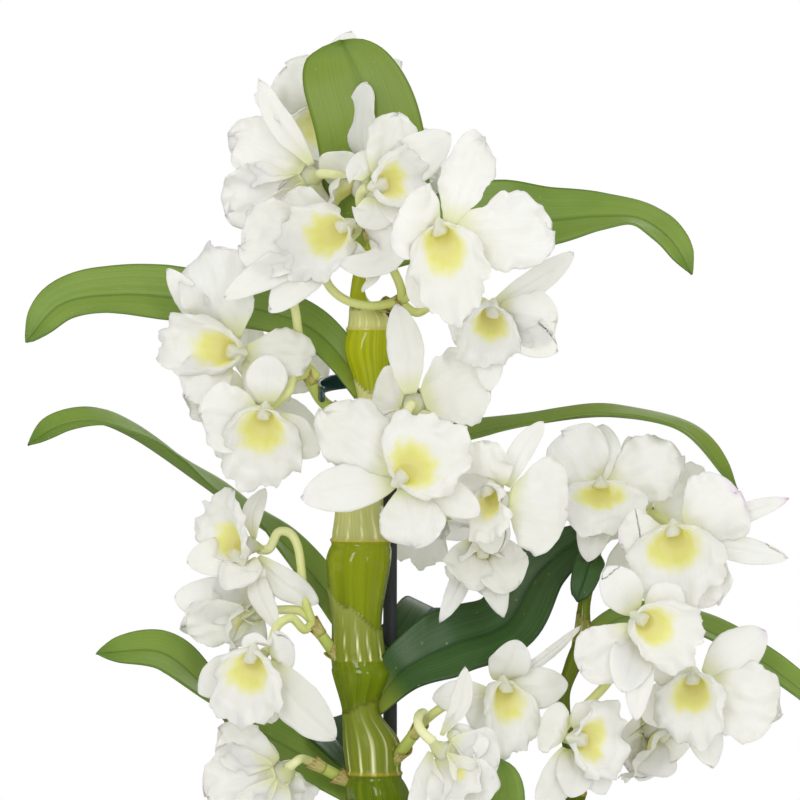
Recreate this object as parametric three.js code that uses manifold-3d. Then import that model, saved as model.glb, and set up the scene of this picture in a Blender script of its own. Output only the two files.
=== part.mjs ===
// Dendrobium orchid in a plain pot: two canes, a stake and its clip, strap leaves,
// flower stalks and white blooms. Millimetres, +Z up, the front looks along -Y.
// The origin is the centre of the pot's flat base.
import * as THREE from 'three';
import { mergeVertices } from 'three/addons/utils/BufferGeometryUtils.js';
import Module from 'manifold-3d';

const wasm = await Module();
wasm.setup();

// Driving dimensions
const clearance = 0.3;          // gap left between pieces that touch
const smoothing = 0.02;         // how far a surface may move as its smallest triangles go
const potHeight = 105;
const potTopRadius = 60;
const potBaseRadius = 46;
const potWall = 4.5;
const potFloor = 6;
const rimHeight = 13;
const rimProud = 3;
const drainRadius = 4.5;
const drainCircle = 24;
const drainCount = 3;
const barkTop = 92;
const barkRelief = 2.5;         // how far chips lift and sink the top of the bark
const rootEnd = 30;             // height at which canes end inside the bark
const stakeRadius = 2.65;
const stakeTop = 405;
const stakePlace = [-3.8, 16.5]; // x and y
const clipHeight = 372;
const clipWide = 6;
const clipThick = 1.8;
const leafThick = 0.9;
const petalThick = 1;
const pedicelRadius = 1.7;
const stemRadius = 2.1;

// Dimensions of a bloom of size 1, in its own frame: throat at the origin, facing -Y
const sepalLong = 36;
const sepalWide = 16.5;
const petalLong = 36;
const petalWide = 28;
const sepalBack = 9.5;          // how far sepals and petals stand behind the throat
const petalBack = 7;
const hubRadius = 4.2;
const hubBack = 13.5;           // the pointed back of the hub, where the pedicel ends
const lipRadius = 14;
const lipReach = 21;            // how far the lip hangs below the throat
const lipForward = 6.5;
const throatDepth = 3.5;

const point = ([x, y, z]) => new THREE.Vector3(x, y, z);
const degrees = THREE.MathUtils.degToRad;
const mix = THREE.MathUtils.lerp;

// Closed bodies ---------------------------------------------------------------

function solidOf(geometry) {
  const bare = geometry.clone();
  bare.deleteAttribute('normal');
  bare.deleteAttribute('uv');
  const merged = mergeVertices(bare, 1e-4);
  const corners = merged.attributes.position.array;
  const faces = Uint32Array.from(merged.index.array);
  const made = (triangles) => new wasm.Manifold(
    new wasm.Mesh({ numProp: 3, vertProperties: corners, triVerts: triangles }));
  const solid = made(faces);
  return solid.volume() < 0 ? made(faces.reverse()) : solid;
}

function moveCorners(geometry, move) {
  const places = geometry.attributes.position;
  const corner = new THREE.Vector3();
  for (let i = 0; i < places.count; i += 1) {
    corner.fromBufferAttribute(places, i);
    move(corner);
    places.setXYZ(i, corner.x, corner.y, corner.z);
  }
  return geometry;
}

const unite = (solids) => solids.reduce((sum, next) => sum.add(next));

// Value at v (0 to 1) of a list of evenly spaced values
function along(values, v) {
  const place = THREE.MathUtils.clamp(v, 0, 1) * (values.length - 1);
  const low = Math.min(Math.floor(place), values.length - 2);
  return mix(values[low], values[low + 1], place - low);
}

// A tube that follows a curve, closed at both ends and grown by gap all round
function tube(curve, radius, sides, steps, gap) {
  const frames = curve.computeFrenetFrames(steps, false);
  const geometry = new THREE.CylinderGeometry(1, 1, 1, sides, steps);
  moveCorners(geometry, (corner) => {
    const share = corner.y + 0.5;
    const step = Math.round(share * steps);
    const middle = curve.getPointAt(share);
    const beyond = gap * ((step === steps) - (step === 0));
    middle.addScaledVector(frames.tangents[step], beyond);
    middle.addScaledVector(frames.normals[step], corner.x * (radius + gap));
    middle.addScaledVector(frames.binormals[step], -corner.z * (radius + gap));
    corner.copy(middle);
  });
  return solidOf(geometry);
}

// Closes a sheet: the front's triangles are repeated on the back, and a rim joins the two.
// The front's corners are numbered first, and the back's follow in the same order.
function closedFaces(front, count) {
  const faces = [...front];
  const edges = new Set();
  for (let i = 0; i < front.length; i += 3) {
    const [a, b, c] = front.slice(i, i + 3);
    faces.push(a + count, c + count, b + count);
    edges.add(`${a} ${b}`).add(`${b} ${c}`).add(`${c} ${a}`);
  }
  for (const edge of edges) {
    const [a, b] = edge.split(' ').map(Number);
    if (!edges.has(`${b} ${a}`)) {
      faces.push(b, a, a + count, b, a + count, b + count);
    }
  }
  return faces;
}

function solidOfFaces(corners, faces) {
  const geometry = new THREE.BufferGeometry().setFromPoints(corners);
  geometry.setIndex(faces);
  return solidOf(geometry);
}

// surface(u, v) gives the middle of a blade: u from -1 to 1 across, v from base to tip
function blade(columns, rows, thickness, surface) {
  const grid = new THREE.PlaneGeometry(2, 1, columns, rows);
  const places = grid.attributes.position;
  const nudge = 0.02;
  const front = [];
  const back = [];
  for (let i = 0; i < places.count; i += 1) {
    const u = places.getX(i);
    const v = places.getY(i) + 0.5;
    const across = surface(u + nudge, v).sub(surface(u - nudge, v));
    const ahead = surface(u, Math.min(v + nudge, 1)).sub(surface(u, Math.max(v - nudge, 0)));
    const normal = across.cross(ahead).setLength(thickness / 2);
    front.push(surface(u, v).add(normal));
    back.push(surface(u, v).sub(normal));
  }
  return solidOfFaces(
    [...front, ...back], closedFaces(Array.from(grid.index.array), places.count));
}

// Pieces: each is cut clear of the ones placed before it ------------------------

const orchid = new THREE.Group();
orchid.name = 'dendrobium_orchid';
const placed = [];

function boxesMeet(one, two) {
  const a = one.boundingBox();
  const b = two.boundingBox();
  return [0, 1, 2].every((axis) => a.min[axis] < b.max[axis] && b.min[axis] < a.max[axis]);
}

function meshOf(name, material, solid) {
  const { vertProperties, triVerts } = solid.getMesh();
  const geometry = new THREE.BufferGeometry();
  geometry.setAttribute('position', new THREE.BufferAttribute(vertProperties, 3));
  geometry.setIndex(new THREE.BufferAttribute(triVerts, 1));
  geometry.computeVertexNormals();
  const mesh = new THREE.Mesh(geometry, material);
  mesh.name = name;
  return mesh;
}

// build(gap) returns the piece grown by gap all round
function addPiece(name, material, build) {
  const apart = placed.reduce(
    (solid, other) => (boxesMeet(solid, other) ? solid.subtract(other) : solid), build(0));
  const bodies = apart.simplify(smoothing).decompose();
  const [whole] = bodies.sort((a, b) => b.volume() - a.volume());
  orchid.add(meshOf(name, material, whole));
  placed.push(build(clearance));
}

// Materials -------------------------------------------------------------------

function finish(color, roughness) {
  return new THREE.MeshStandardMaterial({ color, roughness, metalness: 0 });
}
const potGlaze = finish(0xe9e6df, 0.35);
const barkBrown = finish(0x6a4a32, 0.95);
const caneGreen = finish(0x8d9a1c, 0.35);
const thinCaneGreen = finish(0x7a8a2c, 0.4);
const stakeGrey = finish(0x373a41, 0.6);
const clipTeal = finish(0x143c3c, 0.2);
const stalkGreen = finish(0xdfe4a0, 0.45);
const petalWhite = finish(0xf5f6f4, 0.55);
const lightLeaf = finish(0x829e46, 0.4);
const midLeaf = finish(0x6e9632, 0.4);
const darkLeaf = finish(0x2d5a28, 0.4);

// Pot and bark ------------------------------------------------------------------

const lathe = (profile, sides) => {
  const outline = profile.map(([radius, height]) => new THREE.Vector2(radius, height));
  return new THREE.LatheGeometry(outline, sides).rotateX(Math.PI / 2);
};
const potRadiusAt = (z) => mix(potBaseRadius, potTopRadius, z / potHeight);

function pot() {
  const rimStart = potHeight - rimHeight;
  const shell = solidOf(lathe([
    [0, 0],
    [potBaseRadius - 2, 0],
    [potBaseRadius, 2],
    [potRadiusAt(rimStart), rimStart],
    [potRadiusAt(rimStart) + rimProud, rimStart + 2],
    [potTopRadius + rimProud, potHeight - 2],
    [potTopRadius + rimProud - 2, potHeight],
    [potTopRadius - potWall + 1, potHeight],
    [potRadiusAt(potFloor) - potWall, potFloor],
    [0, potFloor],
  ], 28));
  const holes = Array.from({ length: drainCount }, (_, i) => {
    const turn = (i / drainCount) * Math.PI * 2;
    const hole = new THREE.CylinderGeometry(drainRadius, drainRadius, potFloor * 3, 12);
    hole.rotateX(Math.PI / 2);
    hole.translate(Math.cos(turn) * drainCircle, Math.sin(turn) * drainCircle, potFloor / 2);
    return solidOf(hole);
  });
  return holes.reduce((left, hole) => left.subtract(hole), shell);
}

function bark() {
  const inside = (z) => potRadiusAt(z) - potWall - 2 * clearance;
  const geometry = lathe([
    [0, potFloor + clearance],
    [inside(potFloor), potFloor + clearance],
    [inside(barkTop) - 1, barkTop],
    [inside(barkTop) * 0.72, barkTop],
    [inside(barkTop) * 0.42, barkTop],
    [inside(barkTop) * 0.18, barkTop],
    [0, barkTop],
  ], 18);
  moveCorners(geometry, (corner) => {
    const ripple = Math.sin(corner.x * 0.41 + 1) * Math.cos(corner.y * 0.37)
      + 0.6 * Math.sin(corner.x * 0.9 - corner.y * 0.8);
    corner.z += corner.z > potFloor + 1 ? ripple * barkRelief * 0.6 : 0;
  });
  return solidOf(geometry);
}

addPiece('pot', potGlaze, pot);

// Canes: rings of [x, y, z, radius] from the root up -----------------------------

const mainCaneRings = [
  [-3, 0, rootEnd, 5], [-3, 0, 88, 7.5], [-3, 0, 98, 9.5], [-3.4, 0, 117, 8.2],
  [-3.8, 0, 140, 10.2], [-3.6, 0, 133, 11.6], [-4.2, 0, 160, 8.6],
  [-5.3, 0, 183, 10.4], [-4.9, 0, 176, 12], [-6.5, 0, 201, 8.8],
  [-8.7, 0, 218, 12.2], [-9.9, 0, 226, 10.3], [-11, 0, 238.5, 10.4], [-15.2, 0, 250.5, 7],
  [-14.4, 0, 264.5, 11.6], [-15.6, 0, 268.5, 10.4], [-16.3, 0, 284.5, 9.4],
  [-15.8, 0, 306.5, 12.3], [-14.8, 0, 314.5, 11.2], [-16, 0, 326, 8.4],
  [-15.2, 0, 348, 9], [-13.3, 0, 356.5, 7.2], [-10.6, 0, 369, 5.8],
  [-12.5, 0, 387.5, 8.9], [-11.8, 0, 399, 7.4], [-16, 0, 408, 3], [-14, 0, 420, 2.8],
  [-10, 0, 431, 2.2],
].sort((a, b) => a[2] - b[2]);

const rightCaneRings = [
  [26, 8, rootEnd, 3], [29, 8, 92, 4.6], [34, 7, 112, 3.6], [41, 6, 136, 4.8],
  [47, 5, 156, 3.3], [55, 4, 180, 4.6], [61, 3, 198, 3.2], [67, 2, 218, 3.9],
  [65.4, 1, 231, 3], [62, 0, 255, 2.6], [66, 0, 268, 3.4], [69, 0, 276, 3.6],
  [70, 1, 290, 2.4], [73, 2, 306, 2.9], [76, 3, 322, 2.2], [77, 4, 334, 1.8],
];

function cane(rings, sides) {
  return (gap) => {
    const heights = rings.map((ring) => ring[2]);
    const first = heights[0];
    const last = heights[heights.length - 1];
    const past = (i) => gap * ((i === rings.length - 1) - (i === 0));
    const geometry = lathe([
      [0, first - gap],
      ...rings.map((ring, i) => [ring[3] + 1.2 * gap, ring[2] + past(i)]),
      [0, last + gap],
    ], sides);
    moveCorners(geometry, (corner) => {
      const z = THREE.MathUtils.clamp(corner.z, first, last);
      const next = Math.max(1, heights.findIndex((height) => height >= z - 1e-3));
      const share = (z - heights[next - 1]) / (heights[next] - heights[next - 1]);
      corner.x += mix(rings[next - 1][0], rings[next][0], share);
      corner.y += mix(rings[next - 1][1], rings[next][1], share);
    });
    return solidOf(geometry);
  };
}
addPiece('cane_main', caneGreen, cane(mainCaneRings, 12));
addPiece('cane_right', thinCaneGreen, cane(rightCaneRings, 8));

function stake(gap) {
  const [x, y] = stakePlace;
  const bottom = rootEnd - 10;
  const rod = lathe([
    [0, bottom - gap], [0.8 + gap, bottom - gap], [stakeRadius + gap, bottom + 8],
    [stakeRadius + gap, stakeTop - 1], [stakeRadius + gap - 1, stakeTop + gap], [0, stakeTop + gap],
  ], 10);
  return solidOf(rod.translate(x, y, 0));
}
addPiece('stake', stakeGrey, stake);
addPiece('bark', barkBrown, bark);

// The clip is a ring with an open front, round the cane and the stake
function clip(gap) {
  const middle = [-12.5, 4.5];
  const reach = Math.hypot(stakePlace[0] - middle[0], stakePlace[1] - middle[1]);
  const inner = reach + stakeRadius + clearance;
  const opening = degrees(35);
  const start = -Math.PI / 2 + opening - 0.35;
  const end = (Math.PI * 3) / 2 - opening - 0.35;
  const outline = new THREE.Shape();
  outline.absarc(0, 0, inner + clipThick + gap, start, end, false);
  outline.absarc(0, 0, inner - gap, end, start, true);
  const depth = clipWide + 2 * gap;
  const ring = new THREE.ExtrudeGeometry(outline, { depth, bevelEnabled: false, curveSegments: 12 });
  return solidOf(ring.translate(middle[0], middle[1], clipHeight - depth / 2));
}
addPiece('clip', clipTeal, clip);

// Flower stalks and blooms -------------------------------------------------------

// Each spray grows from root to fork; from there a pedicel reaches the back of each bloom.
// Blooms are [x, y, z, yaw, tilt, roll, size]: the throat's place, then where it faces.
// A yaw of 0 looks to the front, 90 to the right; roll turns the top sepal clockwise.
// Blooms that grow into each other stand together in a bunch, which is one piece.
const sprays = {
  crown: {
    root: [-12, 0, 426], fork: [-15, 4, 440], bunches: [
      [[-30, 14, 476, -20, 0, 17, 0.95]],
      [[-38, -10, 453, -140, 0, 35, 0.95]],
      [[-19, -12, 451, -95, 15, -5, 0.85]],
      [[2, 34, 462, 160, 10, 10, 0.9]],
    ],
  },
  upper: {
    root: [-8, -2, 403], fork: [-1, -13, 405], bunches: [
      [[-27, -36, 430, -25, 0, 60, 0.95]],
      [[2, -54, 451, 35, 5, 20, 0.9]],
      [[15, -78, 428, -12, -5, 20, 1]],
      [[34, -42, 399, 10, -20, 55, 0.95]],
    ],
  },
  upper_left: {
    root: [-18, 2, 362], fork: [-33, -4, 378], bunches: [
      [[-64, -20, 388, -20, 0, 95, 1]],
      [[-50, -36, 358, -10, -15, 5, 0.9]],
      [[-58, 28, 372, -150, 10, 20, 0.9]],
    ],
  },
  middle: {
    root: [-10, -4, 352], fork: [-3, -20, 355], bunches: [
      [[2, -58, 341, 0, 10, -108, 1]],
      [[6, -26, 368, 170, 10, 0, 0.95]],
    ],
  },
  middle_right: {
    root: [-10, 0, 318], fork: [8, -6, 322], bunches: [
      [[33, -42, 332, -35, 0, 30, 1], [31, -22, 310, 10, -60, 0, 0.85]],
    ],
  },
  back: {
    root: [-15, 3, 316], fork: [-14, 18, 326], bunches: [
      [[8, 50, 326, 165, 0, -15, 0.95]],
    ],
  },
  left: {
    root: [-22, -2, 268], fork: [-32, -4, 282], bunches: [
      [[-62, -12, 311, -50, 0, 160, 0.95], [-60, 6, 288, -100, 0, 10, 0.8]],
      [[-56, -32, 270, -25, -15, 18, 0.95]],
    ],
  },
  low_left: {
    root: [-18, 0, 222], fork: [-32, -6, 230], bunches: [
      [[-47, -8, 226, -150, -20, 20, 0.95]],
    ],
  },
  low_right: {
    root: [-3, -4, 230], fork: [7, -11, 244], bunches: [
      [[40, -22, 258, 20, 0, 0, 0.95]],
      [[12, -48, 239, 125, -30, 20, 0.9]],
    ],
  },
  right_upper: {
    root: [74, 2, 314], fork: [80, 6, 322], bunches: [
      [[76, -8, 334, 0, 20, 0, 0.95]],
      [[102, -36, 317, -15, 0, 10, 1]],
      [[98, 34, 322, 160, 0, 10, 0.9]],
    ],
  },
  right_middle: {
    root: [67, 0, 270], fork: [78, -4, 268], bunches: [
      [[91, -52, 286, 10, 0, -20, 0.95]],
      [[110, -22, 261, -15, 0, 35, 1]],
      [[100, 20, 238, 60, -50, 0, 0.85]],
      [[68, -34, 241, 35, 0, -75, 0.95]],
    ],
  },
};

function stalk(spray) {
  return (gap) => {
    const root = point(spray.root);
    const fork = point(spray.fork);
    const rise = fork.clone().sub(root);
    const stem = tube(new THREE.LineCurve3(root, fork), stemRadius, 6, 1, gap);
    const pedicels = spray.bunches.flat().map(([x, y, z, yaw, tilt, roll, size]) => {
      const turn = facing(yaw, tilt, roll);
      const back = new THREE.Vector3(0, 1, 0).applyMatrix4(turn);
      const seat = new THREE.Vector3(x, y, z).addScaledVector(back, (hubBack - 2) * size);
      const span = seat.distanceTo(fork);
      const start = fork.clone().addScaledVector(rise.clone().normalize(), -0.8);
      const curve = new THREE.CubicBezierCurve3(
        start,
        fork.clone().addScaledVector(rise.clone().normalize(), 4 + span * 0.3),
        seat.clone().addScaledVector(back, 5 + span * 0.4),
        seat,
      );
      const bend = curve.getTangent(0).angleTo(curve.getTangent(1));
      return tube(curve, pedicelRadius, 5, 3 + Math.round(1.6 * bend), gap);
    });
    return unite([stem, ...pedicels]);
  };
}

// The turn that brings a bloom from its own frame to where it faces
function facing(yaw, tilt, roll) {
  return new THREE.Matrix4().makeRotationZ(degrees(yaw))
    .multiply(new THREE.Matrix4().makeRotationX(degrees(-tilt)))
    .multiply(new THREE.Matrix4().makeRotationY(degrees(roll)));
}

// Sepals and petals, clockwise from the top sepal; widest is where along it each is widest
const sepal = { long: sepalLong, wide: sepalWide, back: sepalBack, widest: 0.85, rows: 2 };
const petal = { long: petalLong, wide: petalWide, back: petalBack, widest: 1.15, rows: 3 };
const tepals = [
  { ...sepal, recurve: 6, wave: 1 },
  { ...petal, recurve: 3, wave: 3 },
  { ...sepal, recurve: 7, wave: 1.5 },
  { ...sepal, recurve: 5, wave: 1.5 },
  { ...petal, recurve: 5, wave: 3 },
];
const fifth = (2 * Math.PI) / tepals.length;

// A bloom of size 1 in its own frame: one closed body. Sepals and petals are five lobes of
// a sheet, split alike on both faces. A thick hub joins them, and the lip grows from its front.
function bloomCorners(gap) {
  const middles = [];
  const addCorner = (turn, radius, sideways, depth, half = petalThick / 2) => {
    const x = Math.sin(turn) * radius + Math.cos(turn) * sideways;
    const z = Math.cos(turn) * radius - Math.sin(turn) * sideways;
    middles.push({ x, z, front: depth - half - 2 * gap, back: depth + half + 2 * gap });
    return middles.length - 1;
  };
  const front = [];
  const hub = addCorner(0, 0, 0, (throatDepth + hubBack) / 2, (hubBack - throatDepth) / 2);
  const ring = tepals.flatMap(({ back }, k) => [
    addCorner((k - 0.5) * fifth, hubRadius + gap, 0, sepalBack - 1, 1.2),
    addCorner(k * fifth, hubRadius + 1 + gap, 0, back, 1),
  ]);
  tepals.forEach(({ long, wide, back, widest, recurve, wave, rows }, k) => {
    let [left, middle, right] = [0, 1, 2].map((i) => ring[(2 * k + i) % ring.length]);
    for (let row = 1; row <= rows; row += 1) {
      const v = row / rows;
      const swell = Math.pow(Math.sin(Math.PI * (0.06 + 0.88 * Math.pow(v, widest))), 0.75);
      const half = (wide / 2) * swell + gap;
      const bend = back - 3.5 * Math.sin(Math.PI * v) + recurve * v * v * v;
      const ruffle = wave * Math.sin(5 * v + 2 * k * fifth) * v;
      const reach = mix(hubRadius, long, v) + gap;
      const next = [-1, 0, 1].map((u) => addCorner(
        k * fifth, reach + (1 - u * u) * v * 1.5, u * half, bend + u * ruffle - 2.5 * u * u * v));
      front.push(left, next[0], next[1], left, next[1], middle);
      front.push(middle, next[1], next[2], middle, next[2], right);
      [left, middle, right] = next;
    }
  });
  return { middles, front, hub, ring };
}

// The lip's rings, out along its back and over its edge: [radius, how far in front of the throat]
const lipRings = (gap) => [
  [9.5 + gap, -gap],
  [lipRadius + gap, lipForward - gap],
  [lipRadius + gap, lipForward + petalThick + gap],
];

function plainBloom(gap) {
  const { middles, front, hub, ring } = bloomCorners(gap);
  const count = middles.length;
  const fan = ring.flatMap((corner, i) => [hub, corner, ring[(i + 1) % ring.length]]);
  const faces = closedFaces([...front, ...fan], count);
  faces.splice(front.length, fan.length);
  const corners = [
    ...middles.map(({ x, z, front: y }) => new THREE.Vector3(x, y, z)),
    ...middles.map(({ x, z, back: y }) => new THREE.Vector3(x, y, z)),
  ];
  let outer = ring;
  for (const [radius, forward] of lipRings(gap)) {
    const inner = ring.map((_, i) => {
      const turn = (i - 1) * (fifth / 2);
      const flare = THREE.MathUtils.smoothstep(radius, 4, lipRadius);
      const below = Math.max(0, -Math.cos(turn));
      const above = Math.max(0, Math.cos(turn));
      const reach = radius * (1 + flare * (below * (lipReach / lipRadius - 1) - above * 0.3));
      const frill = flare * (1.5 * Math.sin(3 * turn + 1) + 3 * below);
      corners.push(new THREE.Vector3(
        Math.sin(turn) * reach, frill - forward, Math.cos(turn) * reach));
      return corners.length - 1;
    });
    outer.forEach((corner, i) => {
      const next = (i + 1) % ring.length;
      faces.push(inner[i], corner, outer[next], inner[i], outer[next], inner[next]);
    });
    outer = inner;
  }
  outer.forEach((corner, i) => faces.push(hub, corner, outer[(i + 1) % ring.length]));
  return solidOfFaces(corners, faces);
}

function bloom([x, y, z, yaw, tilt, roll, size], gap) {
  const place = facing(yaw, tilt, roll).scale(new THREE.Vector3(size, size, size));
  place.setPosition(x, y, z);
  return plainBloom(gap).transform(place.elements);
}

for (const [name, spray] of Object.entries(sprays)) {
  addPiece(`stalk_${name}`, stalkGreen, stalk(spray));
}

// Leaves ---------------------------------------------------------------------------

// way is the middle line from the cane to the tip; wide is the full width.
// look is how far the upper face turns from straight up (0) to the front (90), base to tip.
const leaves = {
  crown: {
    way: [[-11, 0, 425], [-14, -6, 450], [-18, -9, 478], [-23, -3, 506]],
    wide: 40, look: [90, 90, 90], fold: 0.1, notch: 0.06, skin: lightLeaf,
  },
  upper_right: {
    way: [[-10, 0, 421], [12, -2, 431], [55, 0, 438], [90, -6, 440], [110, -12, 415]],
    wide: 31, look: [60, 62, 60, 50], fold: 0.12, skin: midLeaf,
  },
  upper_left: {
    way: [[-13, 0, 369], [-24, 2, 386], [-40, 6, 400], [-80, 8, 408], [-120, 6, 408], [-142, 0, 390]],
    wide: 24, look: [60, 55, 50, 60], fold: 0.15, skin: midLeaf,
  },
  middle_left: {
    way: [[-17, 0, 280], [-38, 22, 309], [-70, 26, 332], [-108, 14, 356], [-126, 4, 360], [-141, -4, 350]],
    wide: 21, look: [50, 40, 35, 45], fold: 0.18, skin: midLeaf,
  },
  lower_left: {
    way: [[-10, 0, 214], [-36, 20, 231], [-57, 26, 243], [-74, 20, 258], [-91, 8, 272], [-115, -6, 272]],
    wide: 22, look: [60, 50, 35, 30, 55, 60], fold: 0.1, skin: midLeaf,
  },
  middle_right: {
    way: [[-14, 0, 346], [20, 8, 354], [50, 12, 360], [82, 8, 363], [110, 2, 356], [128, -4, 334]],
    wide: 22, look: [20, 12, 10, 25], fold: 0.12, skin: lightLeaf,
  },
  lower_right: {
    way: [[-10, 0, 252], [2, -8, 267], [20, -6, 276], [40, 4, 283], [53, 12, 303], [75, 18, 319]],
    wide: 25, look: [60, 65, 60, 60], fold: 0.12, skin: darkLeaf,
  },
  back_right: {
    way: [[-12, 4, 262], [4, 20, 277], [12, 40, 288], [18, 66, 282]],
    wide: 21, look: [70, 50, 20], fold: 0.12, skin: darkLeaf,
  },
  back_left: {
    way: [[-12, 2, 224], [-24, 20, 238], [-30, 50, 244], [-32, 80, 228]],
    wide: 19, look: [60, 20, 0], fold: 0.12, skin: darkLeaf,
  },
  right_cane_short: {
    way: [[74, 2, 310], [71, -9, 304], [67, -14, 292]],
    wide: 10, look: [60, 80, 80], fold: 0.1, skin: darkLeaf,
  },
  right_cane_long: {
    way: [[69, 0, 277], [88, 12, 286], [111, 12, 283], [138, 6, 269], [170, -4, 244]],
    wide: 18, look: [30, 22, 30], fold: 0.15, skin: darkLeaf,
  },
  bottom_front: {
    way: [[-6, 0, 181], [8, -18, 196], [24, -26, 212], [36, -28, 235]],
    wide: 30, look: [80, 85, 85], fold: 0.15, skin: midLeaf,
  },
  bottom_left: {
    way: [[-6, 0, 184], [-40, -6, 202], [-78, -14, 192], [-106, -20, 160]],
    wide: 22, look: [40, 30, 40], fold: 0.15, skin: darkLeaf,
  },
  bottom_right: {
    way: [[57, 3, 186], [80, -4, 200], [108, -10, 192], [134, -14, 164]],
    wide: 20, look: [40, 30, 40], fold: 0.15, skin: midLeaf,
  },
  base_front: {
    way: [[-4, 0, 140], [12, -30, 160], [32, -62, 156], [46, -92, 128]],
    wide: 21, look: [30, 20, 20], fold: 0.15, skin: darkLeaf,
  },
  base_back: {
    way: [[-4, 0, 142], [-18, 36, 164], [-32, 72, 162], [-42, 104, 136]],
    wide: 22, look: [0, -20, -20], fold: 0.15, skin: midLeaf,
  },
};

function leaf({ way, wide, look, fold, notch = 0 }) {
  const line = new THREE.CatmullRomCurve3(way.map(point));
  const rows = way.length + 2;
  return (gap) => blade(2, rows, leafThick + 2 * gap, (u, v) => {
    const place = THREE.MathUtils.clamp(v, 0, 1);
    const cleft = notch * (1 - Math.min(1, Math.abs(u))) * Math.pow(place, 8);
    const middle = line.getPointAt(place * (1 - cleft));
    const ahead = line.getTangentAt(place);
    const lean = degrees(along(look, place));
    const upper = new THREE.Vector3(0, -Math.sin(lean), Math.cos(lean));
    const sideways = ahead.clone().cross(upper).normalize();
    const face = sideways.clone().cross(ahead);
    const swell = Math.min(1, 0.3 + 2.4 * place) * Math.pow(1 - Math.pow(place, 5), 0.7) + 0.1;
    const half = (wide / 2) * swell + gap;
    return middle.addScaledVector(sideways, u * half)
      .addScaledVector(face, Math.abs(u) * half * fold * 2 - half * fold);
  });
}

for (const [name, shape] of Object.entries(leaves)) {
  addPiece(`leaf_${name}`, shape.skin, leaf(shape));
}

for (const [name, spray] of Object.entries(sprays)) {
  spray.bunches.forEach((bunch, i) => {
    addPiece(`bloom_${name}_${i + 1}`, petalWhite,
      (gap) => unite(bunch.map((shape) => bloom(shape, gap))));
  });
}

export default orchid;
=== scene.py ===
import math
import random

import bmesh
import bpy
from mathutils import Matrix, Vector, geometry, noise


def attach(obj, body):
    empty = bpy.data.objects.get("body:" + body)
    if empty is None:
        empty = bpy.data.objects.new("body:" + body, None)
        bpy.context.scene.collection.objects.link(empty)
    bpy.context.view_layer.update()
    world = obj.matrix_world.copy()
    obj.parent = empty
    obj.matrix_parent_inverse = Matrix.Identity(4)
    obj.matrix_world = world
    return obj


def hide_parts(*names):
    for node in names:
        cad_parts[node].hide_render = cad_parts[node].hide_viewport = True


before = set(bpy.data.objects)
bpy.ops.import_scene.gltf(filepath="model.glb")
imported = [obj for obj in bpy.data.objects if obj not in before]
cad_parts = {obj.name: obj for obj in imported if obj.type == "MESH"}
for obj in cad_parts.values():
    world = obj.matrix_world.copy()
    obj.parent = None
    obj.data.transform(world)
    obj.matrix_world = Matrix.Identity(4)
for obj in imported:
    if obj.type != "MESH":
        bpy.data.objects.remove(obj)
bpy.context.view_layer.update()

# All sizes below are in millimetres; each mesh is brought to metres as it is finished.
metre = 0.001
fullTurn = 2 * math.pi
same = 0.01    # places closer than this count as one


def mix(first, second, share):
    return first + (second - first) * share


def ease(low, high, value):
    share = min(max((value - low) / (high - low), 0), 1)
    return share * share * (3 - 2 * share)


# reads a list of (place, value) pairs with soft changes between them
def readStops(stops, place):
    for (start, low), (end, high) in zip(stops, stops[1:]):
        if place <= end:
            return mix(low, high, ease(start, end, place))
    return stops[-1][1]


# a soft bump round one place, 1 at its middle
def bell(value, middle, width):
    return math.exp(-((value - middle) / width) ** 2)


# 1 along a tube and down to 0 at both ends, which rounds and closes them
def rounded(v, steep):
    return math.sqrt(max(0, min(1, v * steep, (1 - v) * steep)))


# smooth noise between -1 and 1
def drift(*place):
    return noise.noise(Vector((*place, 0, 0)[:3])) * 1.8


def rgb(red, green, blue):
    def linear(part):
        part /= 255
        return part / 12.92 if part <= 0.04045 else ((part + 0.055) / 1.055) ** 2.4
    return (linear(red), linear(green), linear(blue), 1)


# A line through given points, read by its share of the whole length.
class Route:
    count = 160    # steps of equal length
    parts = 24     # parts of the curve between two points

    def __init__(self, points, curved=True):
        way = [Vector(point) for point in points]
        raw = self.curve(way) if curved else way
        reach = [0]
        for before, after in zip(raw, raw[1:]):
            reach.append(reach[-1] + (after - before).length)
        self.length = reach[-1]
        self.even, spot = [], 0
        for step in range(self.count + 1):
            goal = self.length * step / self.count
            while spot < len(raw) - 2 and reach[spot + 1] < goal:
                spot += 1
            gap = reach[spot + 1] - reach[spot] or 1
            self.even.append(raw[spot].lerp(raw[spot + 1], (goal - reach[spot]) / gap))

    # a smooth line through the points, with an even pace on short and long stretches
    def curve(self, way):
        way = [way[0] * 2 - way[1], *way, way[-1] * 2 - way[-2]]
        found = []
        for before, start, end, after in zip(way, way[1:], way[2:], way[3:]):
            pairs = ((before, start), (start, end), (end, after))
            first, middle, last = ((high - low).length ** 0.5 for low, high in pairs)
            leave = (start - before) / first - (end - before) / (first + middle) + (end - start) / middle
            arrive = (end - start) / middle - (after - start) / (middle + last) + (after - end) / last
            leave, arrive = leave * middle, arrive * middle
            for step in range(self.parts):
                t = step / self.parts
                found.append(start + leave * t + (end * 3 - start * 3 - leave * 2 - arrive) * t ** 2
                             + (start * 2 - end * 2 + leave + arrive) * t ** 3)
        return [*found, way[-2]]

    def at(self, share):
        spot = min(max(share, 0), 1) * self.count
        low = min(int(spot), self.count - 1)
        return self.even[low].lerp(self.even[low + 1], spot - low)

    def ahead(self, share):
        near = 0.01
        return (self.at(share + near) - self.at(share - near)).normalized()


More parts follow.
